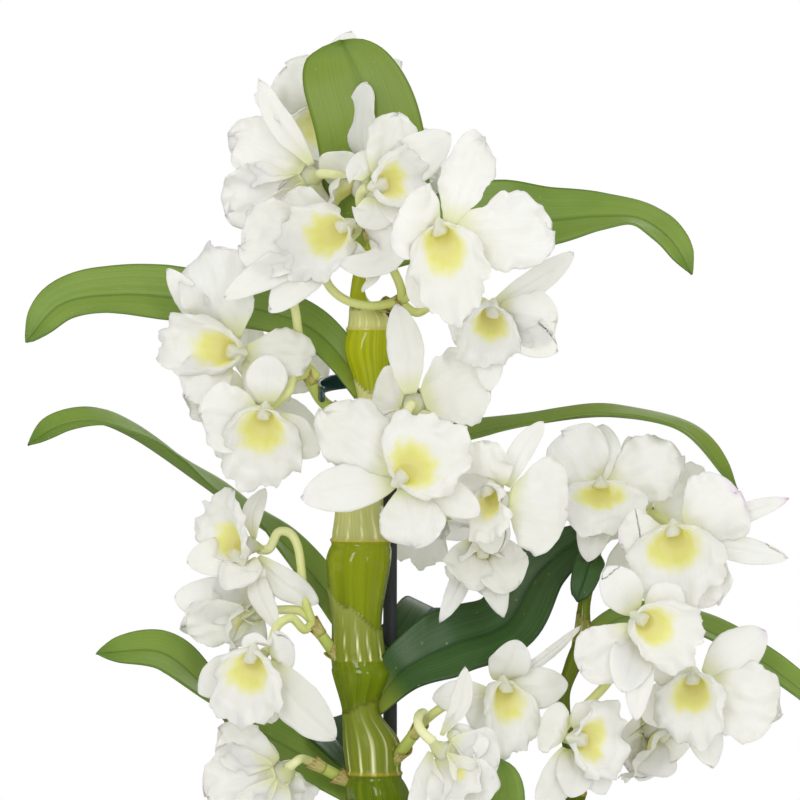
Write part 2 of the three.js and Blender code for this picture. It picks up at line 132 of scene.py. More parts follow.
# A grid bent into a sheet: shape(u, v) gives the place of each corner, u from -1 to 1 and v from 0 to 1.
def sheet(bm, across, along, shape, notes):
    made = bmesh.ops.create_grid(bm, x_segments=across, y_segments=along, size=1)["verts"]
    for vert in made:
        u, v = vert.co.x, (vert.co.y + 1) / 2
        vert.co = shape(u, v)
        notes(vert, u, v)
    return made


# A line spun into a sleeve: shape(angle, v) gives the place of each corner.
def sleeve(bm, around, along, shape, notes=None):
    ends = [bm.verts.new((1, 0, height)) for height in (0, 1)]
    made = bmesh.ops.subdivide_edges(bm, edges=[bm.edges.new(ends)], cuts=along - 1)["geom"]
    edges = [each for each in made if isinstance(each, bmesh.types.BMEdge)]
    line = list(dict.fromkeys(vert for edge in edges for vert in edge.verts))
    before = set(bm.verts) - set(line)
    bmesh.ops.spin(bm, geom=[*line, *edges], cent=(0, 0, 0), axis=(0, 0, 1), angle=fullTurn,
                   steps=around, use_merge=True, use_duplicate=False)
    made = [vert for vert in bm.verts if vert not in before]
    for vert in made:
        angle, v = math.atan2(vert.co.y, vert.co.x), vert.co.z
        vert.co = shape(angle, v)
        if notes:
            notes(vert, angle, v)


# A sleeve along a route, without twist; radius(angle, v) gives its thickness.
def tube(bm, route, around, along, radius, notes):
    side = route.ahead(0).orthogonal().normalized()
    rings = []
    for step in range(along + 1):
        ahead = route.ahead(step / along)
        side = (side - ahead * side.dot(ahead)).normalized()
        rings.append((route.at(step / along), side, ahead.cross(side)))

    def shape(angle, v):
        centre, right, up = rings[round(v * along)]
        return centre + (right * math.cos(angle) + up * math.sin(angle)) * radius(angle, v)

    sleeve(bm, around, along, shape, notes)


def addObject(name, data):
    added = bpy.data.objects.new(name, data)
    bpy.context.scene.collection.objects.link(added)
    return added


# Merges what meets, turns the faces outwards, puts the piece under the root body and hides the CAD parts it
# stands in for.
def finishPiece(bm, name, skin, slot, nodes, thick=0, merge=same, smooth=True):
    bmesh.ops.remove_doubles(bm, verts=bm.verts, dist=merge)
    bmesh.ops.recalc_face_normals(bm, faces=bm.faces)
    bmesh.ops.scale(bm, vec=(metre,) * 3, verts=bm.verts)
    for face in bm.faces:
        face.smooth = smooth
    mesh = bpy.data.meshes.new(name)
    bm.to_mesh(mesh)
    bm.free()
    mesh.materials.append(skin)
    piece = addObject(name, mesh)
    if thick:
        wall = piece.modifiers.new("thickness", "SOLIDIFY")
        wall.thickness = thick * metre
        wall.offset = 0
    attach(piece, "root")
    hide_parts(*nodes)


# One output of a node, so that sums can be written as sums.
class Wire:
    def __init__(self, finish, socket):
        self.finish = finish
        self.socket = socket

    def math(self, operation, *values):
        return self.finish.node("Math", {"operation": operation}, dict(enumerate(values)))

    def __add__(self, other):
        return self.math("ADD", self, other)

    def __sub__(self, other):
        return self.math("SUBTRACT", self, other)

    def __rsub__(self, other):
        return self.math("SUBTRACT", other, self)

    def __mul__(self, other):
        return self.math("MULTIPLY", self, other)

    def __abs__(self):
        return self.math("ABSOLUTE", self)

    __radd__ = __add__
    __rmul__ = __mul__


# A material being put together round one Principled shader.
class Finish:
    def __init__(self, name, shader):
        self.material = bpy.data.materials.new(name)
        self.material.use_nodes = True
        self.tree = self.material.node_tree
        self.tree.nodes.clear()
        self.shader = self.tree.nodes.new("ShaderNodeBsdfPrincipled")
        output = self.tree.nodes.new("ShaderNodeOutputMaterial")
        self.tree.links.new(self.shader.outputs[0], output.inputs[0])
        self.set(shader)

    def feed(self, socket, value):
        if isinstance(value, Wire):
            self.tree.links.new(value.socket, socket)
        else:
            socket.default_value = value

    def set(self, values):
        for socket, value in values.items():
            self.feed(self.shader.inputs[socket], value)

    # adds a node: its settings first, then the values or links of its inputs
    def node(self, kind, settings, links, out=0):
        new = self.tree.nodes.new("ShaderNode" + kind)
        for name, value in settings.items():
            if name == "stops":
                while len(new.color_ramp.elements) < len(value):
                    new.color_ramp.elements.new(1)
                for element, (place, colour) in zip(new.color_ramp.elements, value):
                    element.position = place
                    element.color = colour
            else:
                setattr(new, name, value)
        for name, value in links.items():
            self.feed(new.inputs[name], value)
        return Wire(self, new.outputs[out])

    def blend(self, share, first, second):
        return self.node("Mix", {"data_type": "RGBA"}, {0: share, 6: first, 7: second}, 2)

    # the place on the piece, in metres
    def place(self, scale=(1, 1, 1)):
        where = self.node("TexCoord", {}, {}, "Object")
        return self.node("Mapping", {}, {"Vector": where, "Scale": scale})

    # three values kept on the mesh by its maker
    def marks(self, name, scale=(1, 1, 1)):
        where = self.node("Attribute", {"attribute_name": name}, {}, "Vector")
        return self.node("Mapping", {}, {"Vector": where, "Scale": scale})

    # the three parts of a vector
    def split(self, vector):
        parts = self.node("SeparateXYZ", {}, {"Vector": vector})
        return [Wire(self, output) for output in parts.socket.node.outputs]

    def noise(self, vector, scale, detail=3, rough=0.5):
        values = {"Vector": vector, "Scale": scale, "Detail": detail, "Roughness": rough}
        return self.node("TexNoise", {}, values, "Fac")

    # 0 below low and 1 above high
    def step(self, value, low, high):
        return self.node("MapRange", {"interpolation_type": "SMOOTHSTEP"}, {0: value, 1: low, 2: high})

    # distance in millimetres
    def bump(self, height, distance, strength):
        normal = self.node("Bump", {}, {"Height": height, "Distance": distance * metre, "Strength": strength})
        self.set({"Normal": normal})


petalTones = {"white": rgb(251, 250, 245), "cream": rgb(243, 242, 231), "vein": rgb(232, 231, 216),
              "foot": rgb(222, 227, 142), "lemon": rgb(244, 241, 142), "gold": rgb(230, 224, 88),
              "rose": rgb(238, 218, 238), "shadeBeige": rgb(240, 226, 168)}


# petalMarks: yellow of the lip; pink of the tips and painted beige shade under the column; green of the foot
# petalGrain: across, along, which petal
def petalFinish():
    paint = Finish("petal", {"Subsurface Weight": 0.35, "Subsurface Radius": (1, 0.94, 0.72),
                             "Subsurface Scale": 0.005, "Specular IOR Level": 0.3})
    yellow, pinkAndShade, green = paint.split(paint.marks("petalMarks"))
    veins = paint.noise(paint.marks("petalGrain", (11, 0.7, 1)), 1, 2)
    fine = paint.noise(paint.marks("petalGrain", (34, 1.6, 1)), 1, 2)
    cloud = paint.noise(paint.place(), 38)
    ridge = 1 - paint.step(abs(veins - 0.5), 0, 0.07)
    white = paint.blend(paint.step(cloud, 0.3, 0.7), petalTones["white"], petalTones["cream"])
    veined = paint.blend(ridge * 0.12, white, petalTones["vein"])
    footed = paint.blend(green, veined, petalTones["foot"])
    lemon = paint.blend(paint.step(yellow + (fine - 0.5) * 0.16, 0.05, 0.8), footed, petalTones["lemon"])
    golden = paint.blend(paint.step(yellow + (veins - 0.5) * 0.2, 0.6, 1.4), lemon, petalTones["gold"])
    # the rose of the tips gives way to beige painted shade where the mark is yellow, in the throat and on the
    # column
    rosy = paint.blend(yellow, petalTones["rose"], petalTones["shadeBeige"])
    paint.set({"Base Color": paint.blend(pinkAndShade, golden, rosy), "Roughness": 0.45 + cloud * 0.2})
    paint.bump(veins * 0.7 + fine * 0.3, 0.22, 0.45)
    return paint.material


leafTones = {
    "leaf_light": {"top": rgb(122, 148, 42), "rib": rgb(138, 160, 62), "edge": rgb(98, 130, 26),
                   "rough": 0.36},
    "leaf": {"top": rgb(126, 156, 56), "rib": rgb(148, 172, 84), "edge": rgb(86, 124, 28), "rough": 0.32},
    "leaf_dark": {"top": rgb(46, 84, 30), "rib": rgb(78, 112, 58), "edge": rgb(32, 62, 24), "rough": 0.3},
}
leafFoot, leafSpeck = rgb(150, 166, 62), rgb(186, 200, 150)


# leafGrain: across from -1 to 1, along from 0 to 1, which leaf
def leafFinish(name, tones):
    paint = Finish(name, {"Coat Weight": 0.12, "Coat Roughness": 0.3, "Specular IOR Level": 0.55})
    across, along, _ = paint.split(paint.marks("leafGrain"))
    lines = paint.noise(paint.marks("leafGrain", (26, 0.9, 1)), 1)
    fine = paint.noise(paint.marks("leafGrain", (75, 1.5, 1)), 1, 2)
    cloud = paint.noise(paint.place(), 28, 4)
    middle = 1 - paint.step(abs(across), 0.02, 0.09)
    rim = paint.step(abs(across), 0.93, 1)
    speck = paint.step(paint.noise(paint.place(), 420, 2), 0.72, 0.78)
    veined = paint.blend(paint.step(lines, 0.3, 0.75) * 0.55, tones["top"], tones["rib"])
    mottled = paint.blend(paint.step(cloud, 0.35, 0.8) * 0.4, veined, tones["edge"])
    ribbed = paint.blend(middle * 0.55, mottled, tones["edge"])
    footed = paint.blend(paint.step(along, 0.16, 0.02) * 0.8, ribbed, leafFoot)
    tipped = paint.blend(paint.step(along, 0.9, 1) * 0.6, footed, tones["edge"])
    rimmed = paint.blend(rim * 0.6, tipped, tones["edge"])
    paint.set({"Base Color": paint.blend(speck * 0.35, rimmed, leafSpeck),
               "Roughness": tones["rough"] + lines * 0.22 - cloud * 0.1})
    paint.bump(lines * 0.5 + fine * 0.3 - middle * 0.8, 0.35, 0.55)
    return paint.material


caneTones = {
    "cane": {"low": rgb(100, 122, 0), "high": rgb(186, 194, 12),
             "lowShade": rgb(68, 90, 0), "highShade": rgb(140, 148, 0),
             "lowSheath": rgb(128, 140, 42), "highSheath": rgb(222, 222, 150)},
    "thin cane": {"low": rgb(92, 112, 8), "high": rgb(132, 140, 16),
                  "lowShade": rgb(60, 76, 6), "highShade": rgb(96, 104, 8),
                  "lowSheath": rgb(136, 134, 60), "highSheath": rgb(160, 154, 84)},
}
sheathTones = {"thread": rgb(186, 196, 30), "stripe": rgb(250, 248, 196), "torn": rgb(84, 62, 30),
               "ring": rgb(240, 204, 70), "ringShade": rgb(176, 124, 22)}


# caneMarks: sheath, ring, torn brown edge; caneGrain: angle, height, stripe of the sheath
def caneFinish(name):
    tones = caneTones[name]
    paint = Finish(name, {"Coat Roughness": 0.07, "Specular IOR Level": 0.15})
    sheath, ring, torn = paint.split(paint.marks("caneMarks"))
    _, height, stripe = paint.split(paint.marks("caneGrain"))
    lines = paint.noise(paint.marks("caneGrain", (7, 4, 0)), 1, 2)
    fibre = paint.noise(paint.marks("caneGrain", (30, 12, 0)), 1, 2)
    cloud = paint.noise(paint.place(), 90)
    sunny = paint.step(height, 0.55, 0.95)
    skin = paint.blend(sunny, tones["low"], tones["high"])
    shade = paint.blend(sunny, tones["lowShade"], tones["highShade"])
    shaded = paint.blend(paint.step(lines, 0.38, 0.7) * 0.5, skin, shade)
    threaded = paint.blend(paint.step(fibre, 0.5, 0.75) * 0.2, shaded, sheathTones["thread"])
    dry = paint.blend(paint.step(height, 0.64, 0.82), tones["lowSheath"], tones["highSheath"])
    paper = paint.blend(paint.step(fibre, 0.3, 0.8) * 0.4, dry, skin)
    striped = paint.blend(stripe, paper, sheathTones["stripe"])
    wrapped = paint.blend(paint.step(sheath, 0.35, 0.65), threaded, striped)
    ringed = paint.blend(ring, wrapped, paint.blend(cloud, sheathTones["ring"], sheathTones["ringShade"]))
    paint.set({"Base Color": paint.blend(torn, ringed, sheathTones["torn"]),
               "Roughness": 0.2 + sheath * 0.26 + fibre * 0.08,
               "Coat Weight": 0.85 - sheath * 0.6})
    paint.bump(lines * 0.6 + fibre * 0.2 + stripe * 0.3, 0.3, 0.45)
    return paint.material


stalkTones = {"length": [(0, rgb(150, 172, 62)), (0.28, rgb(206, 214, 118)), (0.6, rgb(230, 233, 160)),
                         (1, rgb(241, 242, 190))],
              "dot": rgb(180, 190, 96), "bract": rgb(196, 176, 108), "bractShade": rgb(146, 116, 62)}


# stalkGrain: angle, along, how papery
def stalkFinish():
    paint = Finish("stalk", {"Subsurface Weight": 0.1, "Subsurface Radius": (1, 1, 0.4),
                             "Subsurface Scale": 0.002})
    _, along, papery = paint.split(paint.marks("stalkGrain"))
    lines = paint.noise(paint.marks("stalkGrain", (5, 2, 0)), 1)
    cloud = paint.noise(paint.place(), 150, 2)
    skin = paint.node("ValToRGB", {"stops": stalkTones["length"]}, {0: along})
    dotted = paint.blend(paint.step(cloud, 0.5, 0.8) * 0.25, skin, stalkTones["dot"])
    bract = paint.blend(paint.step(lines, 0.35, 0.7), stalkTones["bract"], stalkTones["bractShade"])
    paint.set({"Base Color": paint.blend(papery, dotted, bract), "Roughness": 0.34 + papery * 0.3})
    paint.bump(lines, 0.2, 0.5)
    return paint.material


stakeTones = {"dark": rgb(46, 49, 55), "light": rgb(74, 77, 84)}
clipTones = {"dark": rgb(16, 52, 54), "light": rgb(26, 70, 72)}


def stakeFinish():
    paint = Finish("stake", {"Specular IOR Level": 0.4})
    grain = paint.noise(paint.place((1, 1, 0.12)), 900)
    cloud = paint.noise(paint.place(), 40)
    paint.set({"Base Color": paint.blend(grain, stakeTones["dark"], stakeTones["light"]),
               "Roughness": 0.5 + cloud * 0.2})
    paint.bump(grain, 0.2, 0.6)
    return paint.material


def clipFinish():
    paint = Finish("clip", {"Coat Weight": 1, "Coat Roughness": 0.06})
    grain = paint.noise(paint.place(), 300)
    paint.set({"Base Color": paint.blend(grain, clipTones["dark"], clipTones["light"]),
               "Roughness": 0.22 + grain * 0.14})
    paint.bump(grain, 0.06, 0.4)
    return paint.material


potTones = {"glaze": rgb(232, 228, 218), "shade": rgb(216, 210, 196), "speck": rgb(150, 140, 122)}


def potFinish():
    paint = Finish("pot glaze", {"Coat Weight": 0.35, "Coat Roughness": 0.15, "Specular IOR Level": 0.5})
    cloud = paint.noise(paint.place(), 22, 4)
    speck = paint.step(paint.noise(paint.place(), 620, 2), 0.66, 0.74)
    turned = paint.noise(paint.place((0.2, 0.2, 9)), 40)
    glaze = paint.blend(paint.step(cloud, 0.3, 0.75) * 0.5, potTones["glaze"], potTones["shade"])
    paint.set({"Base Color": paint.blend(speck * 0.4, glaze, potTones["speck"]),
               "Roughness": 0.3 + cloud * 0.18})
    paint.bump(turned * 0.7 + cloud * 0.6, 0.35, 0.4)
    return paint.material


barkTones = {"chips": [(0.3, rgb(62, 40, 26)), (0.45, rgb(98, 64, 40)), (0.58, rgb(128, 88, 56)),
                       (0.7, rgb(82, 54, 36))],
             "fibre": rgb(152, 112, 78), "pit": rgb(48, 32, 22)}


def barkFinish():
    paint = Finish("bark", {"Specular IOR Level": 0.25})
    which = paint.noise(paint.place(), 55, 1)
    grain = paint.noise(paint.place((1, 1, 3)), 380, 5, 0.65)
    flake = paint.noise(paint.place(), 1100, 2)
    tone = paint.node("ValToRGB", {"stops": barkTones["chips"]}, {0: which})
    fibrous = paint.blend(paint.step(grain, 0.4, 0.72) * 0.6, tone, barkTones["fibre"])
    paint.set({"Base Color": paint.blend(paint.step(flake, 0.6, 0.75) * 0.35, fibrous, barkTones["pit"]),
               "Roughness": 0.72 + grain * 0.2})
    paint.bump(grain + flake * 0.3, 0.9, 0.9)
    return paint.material


petalSkin = petalFinish()
leafSkins = {slot: leafFinish(slot.replace("_", " "), tones) for slot, tones in leafTones.items()}
stalkSkin = stalkFinish()
print("materials made")


pot = {"height": 105, "topRadius": 60, "baseRadius": 46, "wall": 4.5, "floor": 6, "rimHeight": 13,
       "rimProud": 3, "footLift": 0.6, "drainRadius": 4.5, "drainEdge": 4, "drainCircle": 24,
       "drainCount": 3, "drainSides": 24, "around": 96, "barkTop": 92}


def potRadius(height):
    return mix(pot["baseRadius"], pot["topRadius"], height / pot["height"])


# the line from the drains under the foot, up the outside, over the rim and down to the drains again
def potLine():
    foot, top, floor = pot["baseRadius"], pot["height"], pot["floor"]
    rimFoot, rim = top - pot["rimHeight"], pot["topRadius"] + pot["rimProud"]
    inside = potRadius(floor) - pot["wall"]
    drains = pot["drainCircle"] + pot["drainRadius"] + pot["drainEdge"]
    side = [(potRadius(height), height) for height in (20, 45, 70, rimFoot - 1)]
    return [(drains, pot["footLift"]), (foot - 5, pot["footLift"]), (foot - 4, 0), (foot - 1.2, 0),
            (foot + 0.1, 1.6), *side, (potRadius(rimFoot) + 1.4, rimFoot + 0.3), (rim - 0.8, rimFoot + 1),
            (rim - 0.2, rimFoot + 2.6), (rim, rimFoot + 6), (rim, top - 2.6), (rim - 0.9, top - 0.7),
            (rim - 2.6, top), (rim - 5, top - 0.6), (rim - 6.5, top - 2.6), (potRadius(60) - pot["wall"], 60),
            (inside + 1, floor + 6), (inside - 6, floor), (drains, floor)]


# spins a line of (radius, height) round the upright axis
def spinLine(bm, profile, around):
    line = [bm.verts.new((radius, 0, height)) for radius, height in profile]
    edges = [bm.edges.new(pair) for pair in zip(line, line[1:])]
    bmesh.ops.spin(bm, geom=line + edges, cent=(0, 0, 0), axis=(0, 0, 1), angle=fullTurn, steps=around,
                   use_merge=True, use_duplicate=False)


def drainCentres():
    turns = (fullTurn * hole / pot["drainCount"] for hole in range(pot["drainCount"]))
    return [Vector((math.cos(turn), math.sin(turn), 0)) * pot["drainCircle"] for turn in turns]


def isRing(edge, centre, height):
    return all(abs(vert.co.z - height) < same
               and (vert.co.xy - centre.xy).length < pot["drainRadius"] + same * 5 for vert in edge.verts)


def makePot():
    bm = bmesh.new()
    spinLine(bm, potLine(), pot["around"])
    for height in (pot["footLift"], pot["floor"]):
        closeFloor(bm, height)
    for centre in drainCentres():
        walls = [edge for height in (pot["footLift"], pot["floor"]) for edge in bm.edges
                 if isRing(edge, centre, height)]
        bmesh.ops.bridge_loops(bm, edges=walls)
    finishPiece(bm, "pot_body", potFinish(), "pot_glaze", ["pot"])


# fills the flat floor at one height round its drain holes
def closeFloor(bm, height):
    edges = [edge for edge in bm.edges
             if edge.is_boundary and all(abs(vert.co.z - height) < same for vert in edge.verts)]
    for centre in drainCentres():
        place = Matrix.Translation((centre.x, centre.y, height))
        ring = bmesh.ops.create_circle(bm, cap_ends=False, radius=pot["drainRadius"],
                                       segments=pot["drainSides"], matrix=place)["verts"]
        edges += dict.fromkeys(edge for vert in ring for edge in vert.link_edges)
    bmesh.ops.triangle_fill(bm, edges=edges, use_beauty=True)


stake = {"place": (-3.8, 16.5), "radius": 2.65, "foot": 20, "top": 405, "topLong": 2.5, "footLong": 2,
         "uneven": 0.012, "around": 24, "along": 160}
# gap: between bed and pot; stems: where the canes and the stake stand, and how far the chips keep off
bark = {"chips": 430, "chipLong": (7, 17), "chipWide": (4, 9), "chipThick": (2, 4.5), "chipRise": (-1, 2.2),
        "chipLean": (-0.4, 0.4), "chipTip": (-0.35, 0.35), "chipBelow": 2.2, "square": 1.5,
        "worn": (0.75, 1.1), "gap": 0.6, "offEdge": 4, "around": 48, "seed": 12,
        "stems": [((-3, 0), 11), ((29, 8), 8), (stake["place"], 6)]}


def makeBark():
    random.seed(bark["seed"])
    bm = bmesh.new()
    top, bottom = pot["barkTop"], pot["floor"] + 0.4
    wide = potRadius(top) - pot["wall"] - bark["gap"]
    narrow = potRadius(pot["floor"]) - pot["wall"] - bark["gap"]
    spinLine(bm, [(0.01, bottom), (narrow - 6, bottom), (narrow, pot["floor"] + 7), (wide, top - 3),
                  (wide - 3, top - 2), (0.01, top - 2)], bark["around"])
    bmesh.ops.remove_doubles(bm, verts=bm.verts, dist=0.1)
    placed = 0
    while placed < bark["chips"]:
        radius = (wide - bark["offEdge"]) * math.sqrt(random.random())
        turn = random.uniform(0, fullTurn)
        spot = Vector((radius * math.cos(turn), radius * math.sin(turn)))
        long, broad, thick = (random.uniform(*bark[size]) for size in ("chipLong", "chipWide", "chipThick"))
        height = top - bark["chipBelow"] + random.uniform(*bark["chipRise"])
        lie = (Matrix.Translation((*spot, height)) @ Matrix.Rotation(random.uniform(0, fullTurn), 4, "Z")
               @ Matrix.Rotation(random.uniform(*bark["chipLean"]), 4, "X")
               @ Matrix.Rotation(random.uniform(*bark["chipTip"]), 4, "Y")
               @ Matrix.Diagonal((long / 2, broad / 2, thick / 2, 1)))
        if any((spot - Vector(stem)).length < gap + long / 2 for stem, gap in bark["stems"]):
            continue
        if spot.length + long / 2 > wide - 0.5:
            continue
        chip = bmesh.ops.create_icosphere(bm, subdivisions=1, radius=1)["verts"]
        for vert in chip:
            blunt = Vector(min(max(part * bark["square"], -1), 1) for part in vert.co)
            vert.co = blunt * random.uniform(*bark["worn"])
        bmesh.ops.transform(bm, matrix=lie, verts=chip)
        placed += 1
    finishPiece(bm, "bark_chips", barkFinish(), "bark", ["bark"], merge=0.001, smooth=False)


def makeStake():
    bm = bmesh.new()
    x, y = stake["place"]

    def shape(angle, v):
        height = mix(stake["foot"], stake["top"], v)
        tip = ease(0, stake["topLong"], stake["top"] - height)
        tip *= ease(0, stake["footLong"], height - stake["foot"])
        radius = stake["radius"] * math.sqrt(tip) * (1 + stake["uneven"] * drift(angle * 3, height * 0.05))
        return Vector((x + radius * math.cos(angle), y + radius * math.sin(angle), height))

    sleeve(bm, stake["around"], stake["along"], shape)
    finishPiece(bm, "stake_rod", stakeFinish(), "stake", ["stake"])


# an open ring round cane and stake; its gap is turned from the front, and it is tipped forward
clip = {"centre": (-12.5, 4.5), "inner": 17.77, "thick": 1.8, "low": 369, "high": 375,
        "gap": math.radians(35), "turn": -0.35, "tilt": 0.2, "flare": 0.9, "steepEnds": 60, "square": 0.75,
        "lowEnds": 0.3, "around": 24, "along": 120}


def makeClip():
    bm = bmesh.new()
    across, back = clip["centre"]
    middle = clip["inner"] + clip["thick"] / 2
    height, half = (clip["low"] + clip["high"]) / 2, (clip["high"] - clip["low"]) / 2
    start = -math.pi / 2 + clip["turn"] + clip["gap"]
    sweep = fullTurn - 2 * clip["gap"]

    def shape(angle, v):
        turn = start + sweep * v
        closed = rounded(v, clip["steepEnds"])
        flare = clip["flare"] * (ease(0.1, 0, v) + ease(0.9, 1, v))
        corner = max(abs(math.cos(angle)), abs(math.sin(angle))) ** clip["square"]
        out = middle + flare + math.cos(angle) / corner * clip["thick"] / 2 * closed
        lift = math.sin(angle) / corner * half * mix(clip["lowEnds"], 1, closed)
        if closed == 0:
            out, lift = middle + flare, 0
        lift += out * math.sin(turn) * clip["tilt"]
        return Vector((across + out * math.cos(turn), back + out * math.sin(turn), height + lift))

    sleeve(bm, clip["around"], clip["along"], shape)
    finishPiece(bm, "clip_ring", clipFinish(), "clip", ["clip"])


makePot()
makeStake()
makeClip()
makeBark()
print("pot, bark, stake and clip made")


# each ring: x, y, z, radius; each joint: its height, then its sheath's length, longest side and slant
mainCane = {
    "rings": [(-3, 0, 30, 5), (-3, 0, 88, 7.5), (-3, 0, 98, 9.5), (-3.4, 0, 117, 8.2), (-3.6, 0, 133, 11.6),
              (-3.8, 0, 140, 10.2), (-4.2, 0, 160, 8.6), (-4.9, 0, 176, 12), (-5.3, 0, 183, 10.4),
              (-6.5, 0, 201, 8.8), (-8.7, 0, 218, 12.2), (-9.9, 0, 226, 10.3), (-11, 0, 238.5, 10.4),
              (-15.2, 0, 250.5, 7), (-14.4, 0, 264.5, 11.6), (-15.6, 0, 268.5, 10.4),
              (-16.3, 0, 284.5, 9.4), (-15.8, 0, 306.5, 12.3), (-14.8, 0, 314.5, 11.2), (-16, 0, 326, 8.4),
              (-15.2, 0, 348, 9), (-13.3, 0, 356.5, 7.2), (-10.6, 0, 369, 5.8), (-12.5, 0, 387.5, 8.9),
              (-11.8, 0, 399, 7.4), (-16, 0, 408, 3), (-14, 0, 420, 2.8), (-10, 0, 431, 2.2)],
    "joints": [(98, 17, 0, 0.2), (140, 17, 2, 0.25), (183, 17, 4, 0.2), (226, 26, 0, 0.12),
               (268.5, 20, 3.1, 0.34), (314.5, 17, 1.2, 0.1), (356.5, 17, 2.5, 0.2), (394.6, 9, 0, 0.1)],
    "around": 96, "along": 380, "ribs": 9, "stripes": 12,
}
thinCane = {
    "rings": [(26, 8, 30, 3), (29, 8, 92, 4.6), (34, 7, 112, 3.6), (41, 6, 136, 4.8), (47, 5, 156, 3.3),
              (55, 4, 180, 4.6), (61, 3, 198, 3.2), (67, 2, 218, 3.9), (65.4, 1, 231, 3), (62, 0, 255, 2.6),
              (66, 0, 268, 3.4), (69, 0, 276, 3.6), (70, 1, 290, 2.4), (73, 2, 306, 2.9), (76, 3, 322, 2.2),
              (77, 4, 334, 1.8)],
    "joints": [(92, 12, 0, 0.2), (136, 12, 2, 0.3), (180, 12, 4, 0.2), (218, 12, 1, 0.3), (276, 10, 3, 0.2),
               (306, 9, 5, 0.2)],
    "around": 48, "along": 260, "ribs": 6, "stripes": 7,
}


# the centre and radius of a cane at one height, smooth through its rings
def readRings(rings, height):
    last = len(rings) - 1
    spot = next((index for index in range(last) if height <= rings[index + 1][2]), last - 1)
    before, start, end, after = (rings[min(max(index, 0), last)] for index in range(spot - 1, spot + 3))
    gap = end[2] - start[2]
    t = min(max((height - start[2]) / gap, 0), 1)
    found = []
    for part in (0, 1, 3):
        leave = (end[part] - before[part]) / (end[2] - before[2]) * gap
        arrive = (after[part] - start[part]) / (after[2] - start[2]) * gap
        found.append(start[part] + leave * t + (3 * (end[part] - start[part]) - 2 * leave - arrive) * t ** 2
                     + (2 * (start[part] - end[part]) + leave + arrive) * t ** 3)
    return found


# sizes in millimetres where the cane is full; tear, rib and flute are shares of a length or radius
caneCut = {"fullRadius": 11, "pastTop": 30, "steepEnds": 90, "rib": 0.02, "tear": 0.08, "lift": 0.25,
           "flare": 0.35, "flareLong": 5, "flute": 0.012, "collar": 0.5, "groove": 0.35, "grooveOff": 1.8,
           "soft": 0.7, "stripeLean": 0.03, "stripeWander": 1.5, "stripeSharp": 14, "paleAt": 420}


def makeCane(name, finish, cane, slot, node):
    bm = bmesh.new()
    marks = bm.verts.layers.float_vector.new("caneMarks")
    grain = bm.verts.layers.float_vector.new("caneGrain")
    low, high = cane["rings"][0][2], cane["rings"][-1][2]

    # the joint below a height, and the share of the way to the next
    def jointBelow(height):
        below = max((joint for joint in cane["joints"] if joint[0] <= height), default=(low, 0, 0, 0))
        above = min((joint[0] for joint in cane["joints"] if joint[0] > height),
                    default=high + caneCut["pastTop"])
        return below, (height - below[0]) / (above - below[0])

    # noise that closes on itself round the cane
    def patches(angle, fine, seed):
        return drift(math.cos(angle) * fine, math.sin(angle) * fine, seed)

    def surface(angle, height):
        x, y, radius = readRings(cane["rings"], height)
        (joint, long, toward, slant), share = jointBelow(height)
        above, scale = height - joint, radius / caneCut["fullRadius"]
        ribs = caneCut["rib"] * math.cos(cane["ribs"] * angle + joint)
        ribbed = 1 + ribs * ease(0.2, 0.6, share) * ease(1, 0.8, share)
        tear = slant * math.cos(angle - toward) + caneCut["tear"] * patches(angle, 1.4, joint)
        edge = long * (1 + tear)
        wrap = ease(edge + 0.5, edge - 0.5, above) if long else 0
        loose = 0.5 + 0.5 * patches(angle, 2, joint)
        lift = caneCut["lift"] + caneCut["flare"] * ease(edge - caneCut["flareLong"], edge, above) * loose
        flute = caneCut["flute"] * math.cos(cane["stripes"] * 2 * angle)
        collar = caneCut["collar"] * bell(above, 0.1, caneCut["soft"]) if long else 0
        nearest = min(abs(height - each) for each, *_ in cane["joints"])
        dip = -caneCut["groove"] * bell(nearest, caneCut["grooveOff"], caneCut["soft"])
        full = radius * ribbed * (1 + flute * wrap) + (lift * wrap + collar + dip) * scale
        return Vector((x, y, height)), full, wrap, above, edge, joint

    def shape(angle, v):
        centre, radius, *_ = surface(angle, mix(low, high, v))
        radius *= rounded(v, caneCut["steepEnds"])
        return centre + Vector((math.cos(angle), math.sin(angle), 0)) * radius

    def notes(vert, angle, v):
        height = mix(low, high, v)
        _, _, wrap, above, edge, joint = surface(angle, height)
        slant = angle + caneCut["stripeLean"] * above * drift(joint * 0.37, 2)
        wander = caneCut["stripeWander"] * patches(slant, 2, joint)
        fan = max(0, math.cos(cane["stripes"] * slant + wander)) ** caneCut["stripeSharp"]
        ring = bell(above, 0.2, 0.6) * (0.4 + 0.6 * fan) if edge else 0
        strength = 1.2 + 0.5 * drift(joint, math.cos(angle) * 2, math.sin(angle) * 2)
        stripe = fan * wrap * ease(edge, -0.1, above) * strength
        torn = wrap * ease(edge - 1, edge - 0.3, above) * (0.8 + 0.4 * patches(angle, 3, joint))
        vert[marks] = Vector((wrap, ring, max(0, torn)))
        vert[grain] = Vector((math.cos(angle) + math.sin(angle) * 1.7, height / caneCut["paleAt"],
                              min(max(0, stripe), 1)))

    sleeve(bm, cane["around"], cane["along"], shape, notes)
    finishPiece(bm, name, caneFinish(finish), slot, [node])


makeCane("main_cane", "cane", mainCane, "cane", "cane_main")
makeCane("thin_cane", "thin cane", thinCane, "thin_cane", "cane_right")
print("canes made")


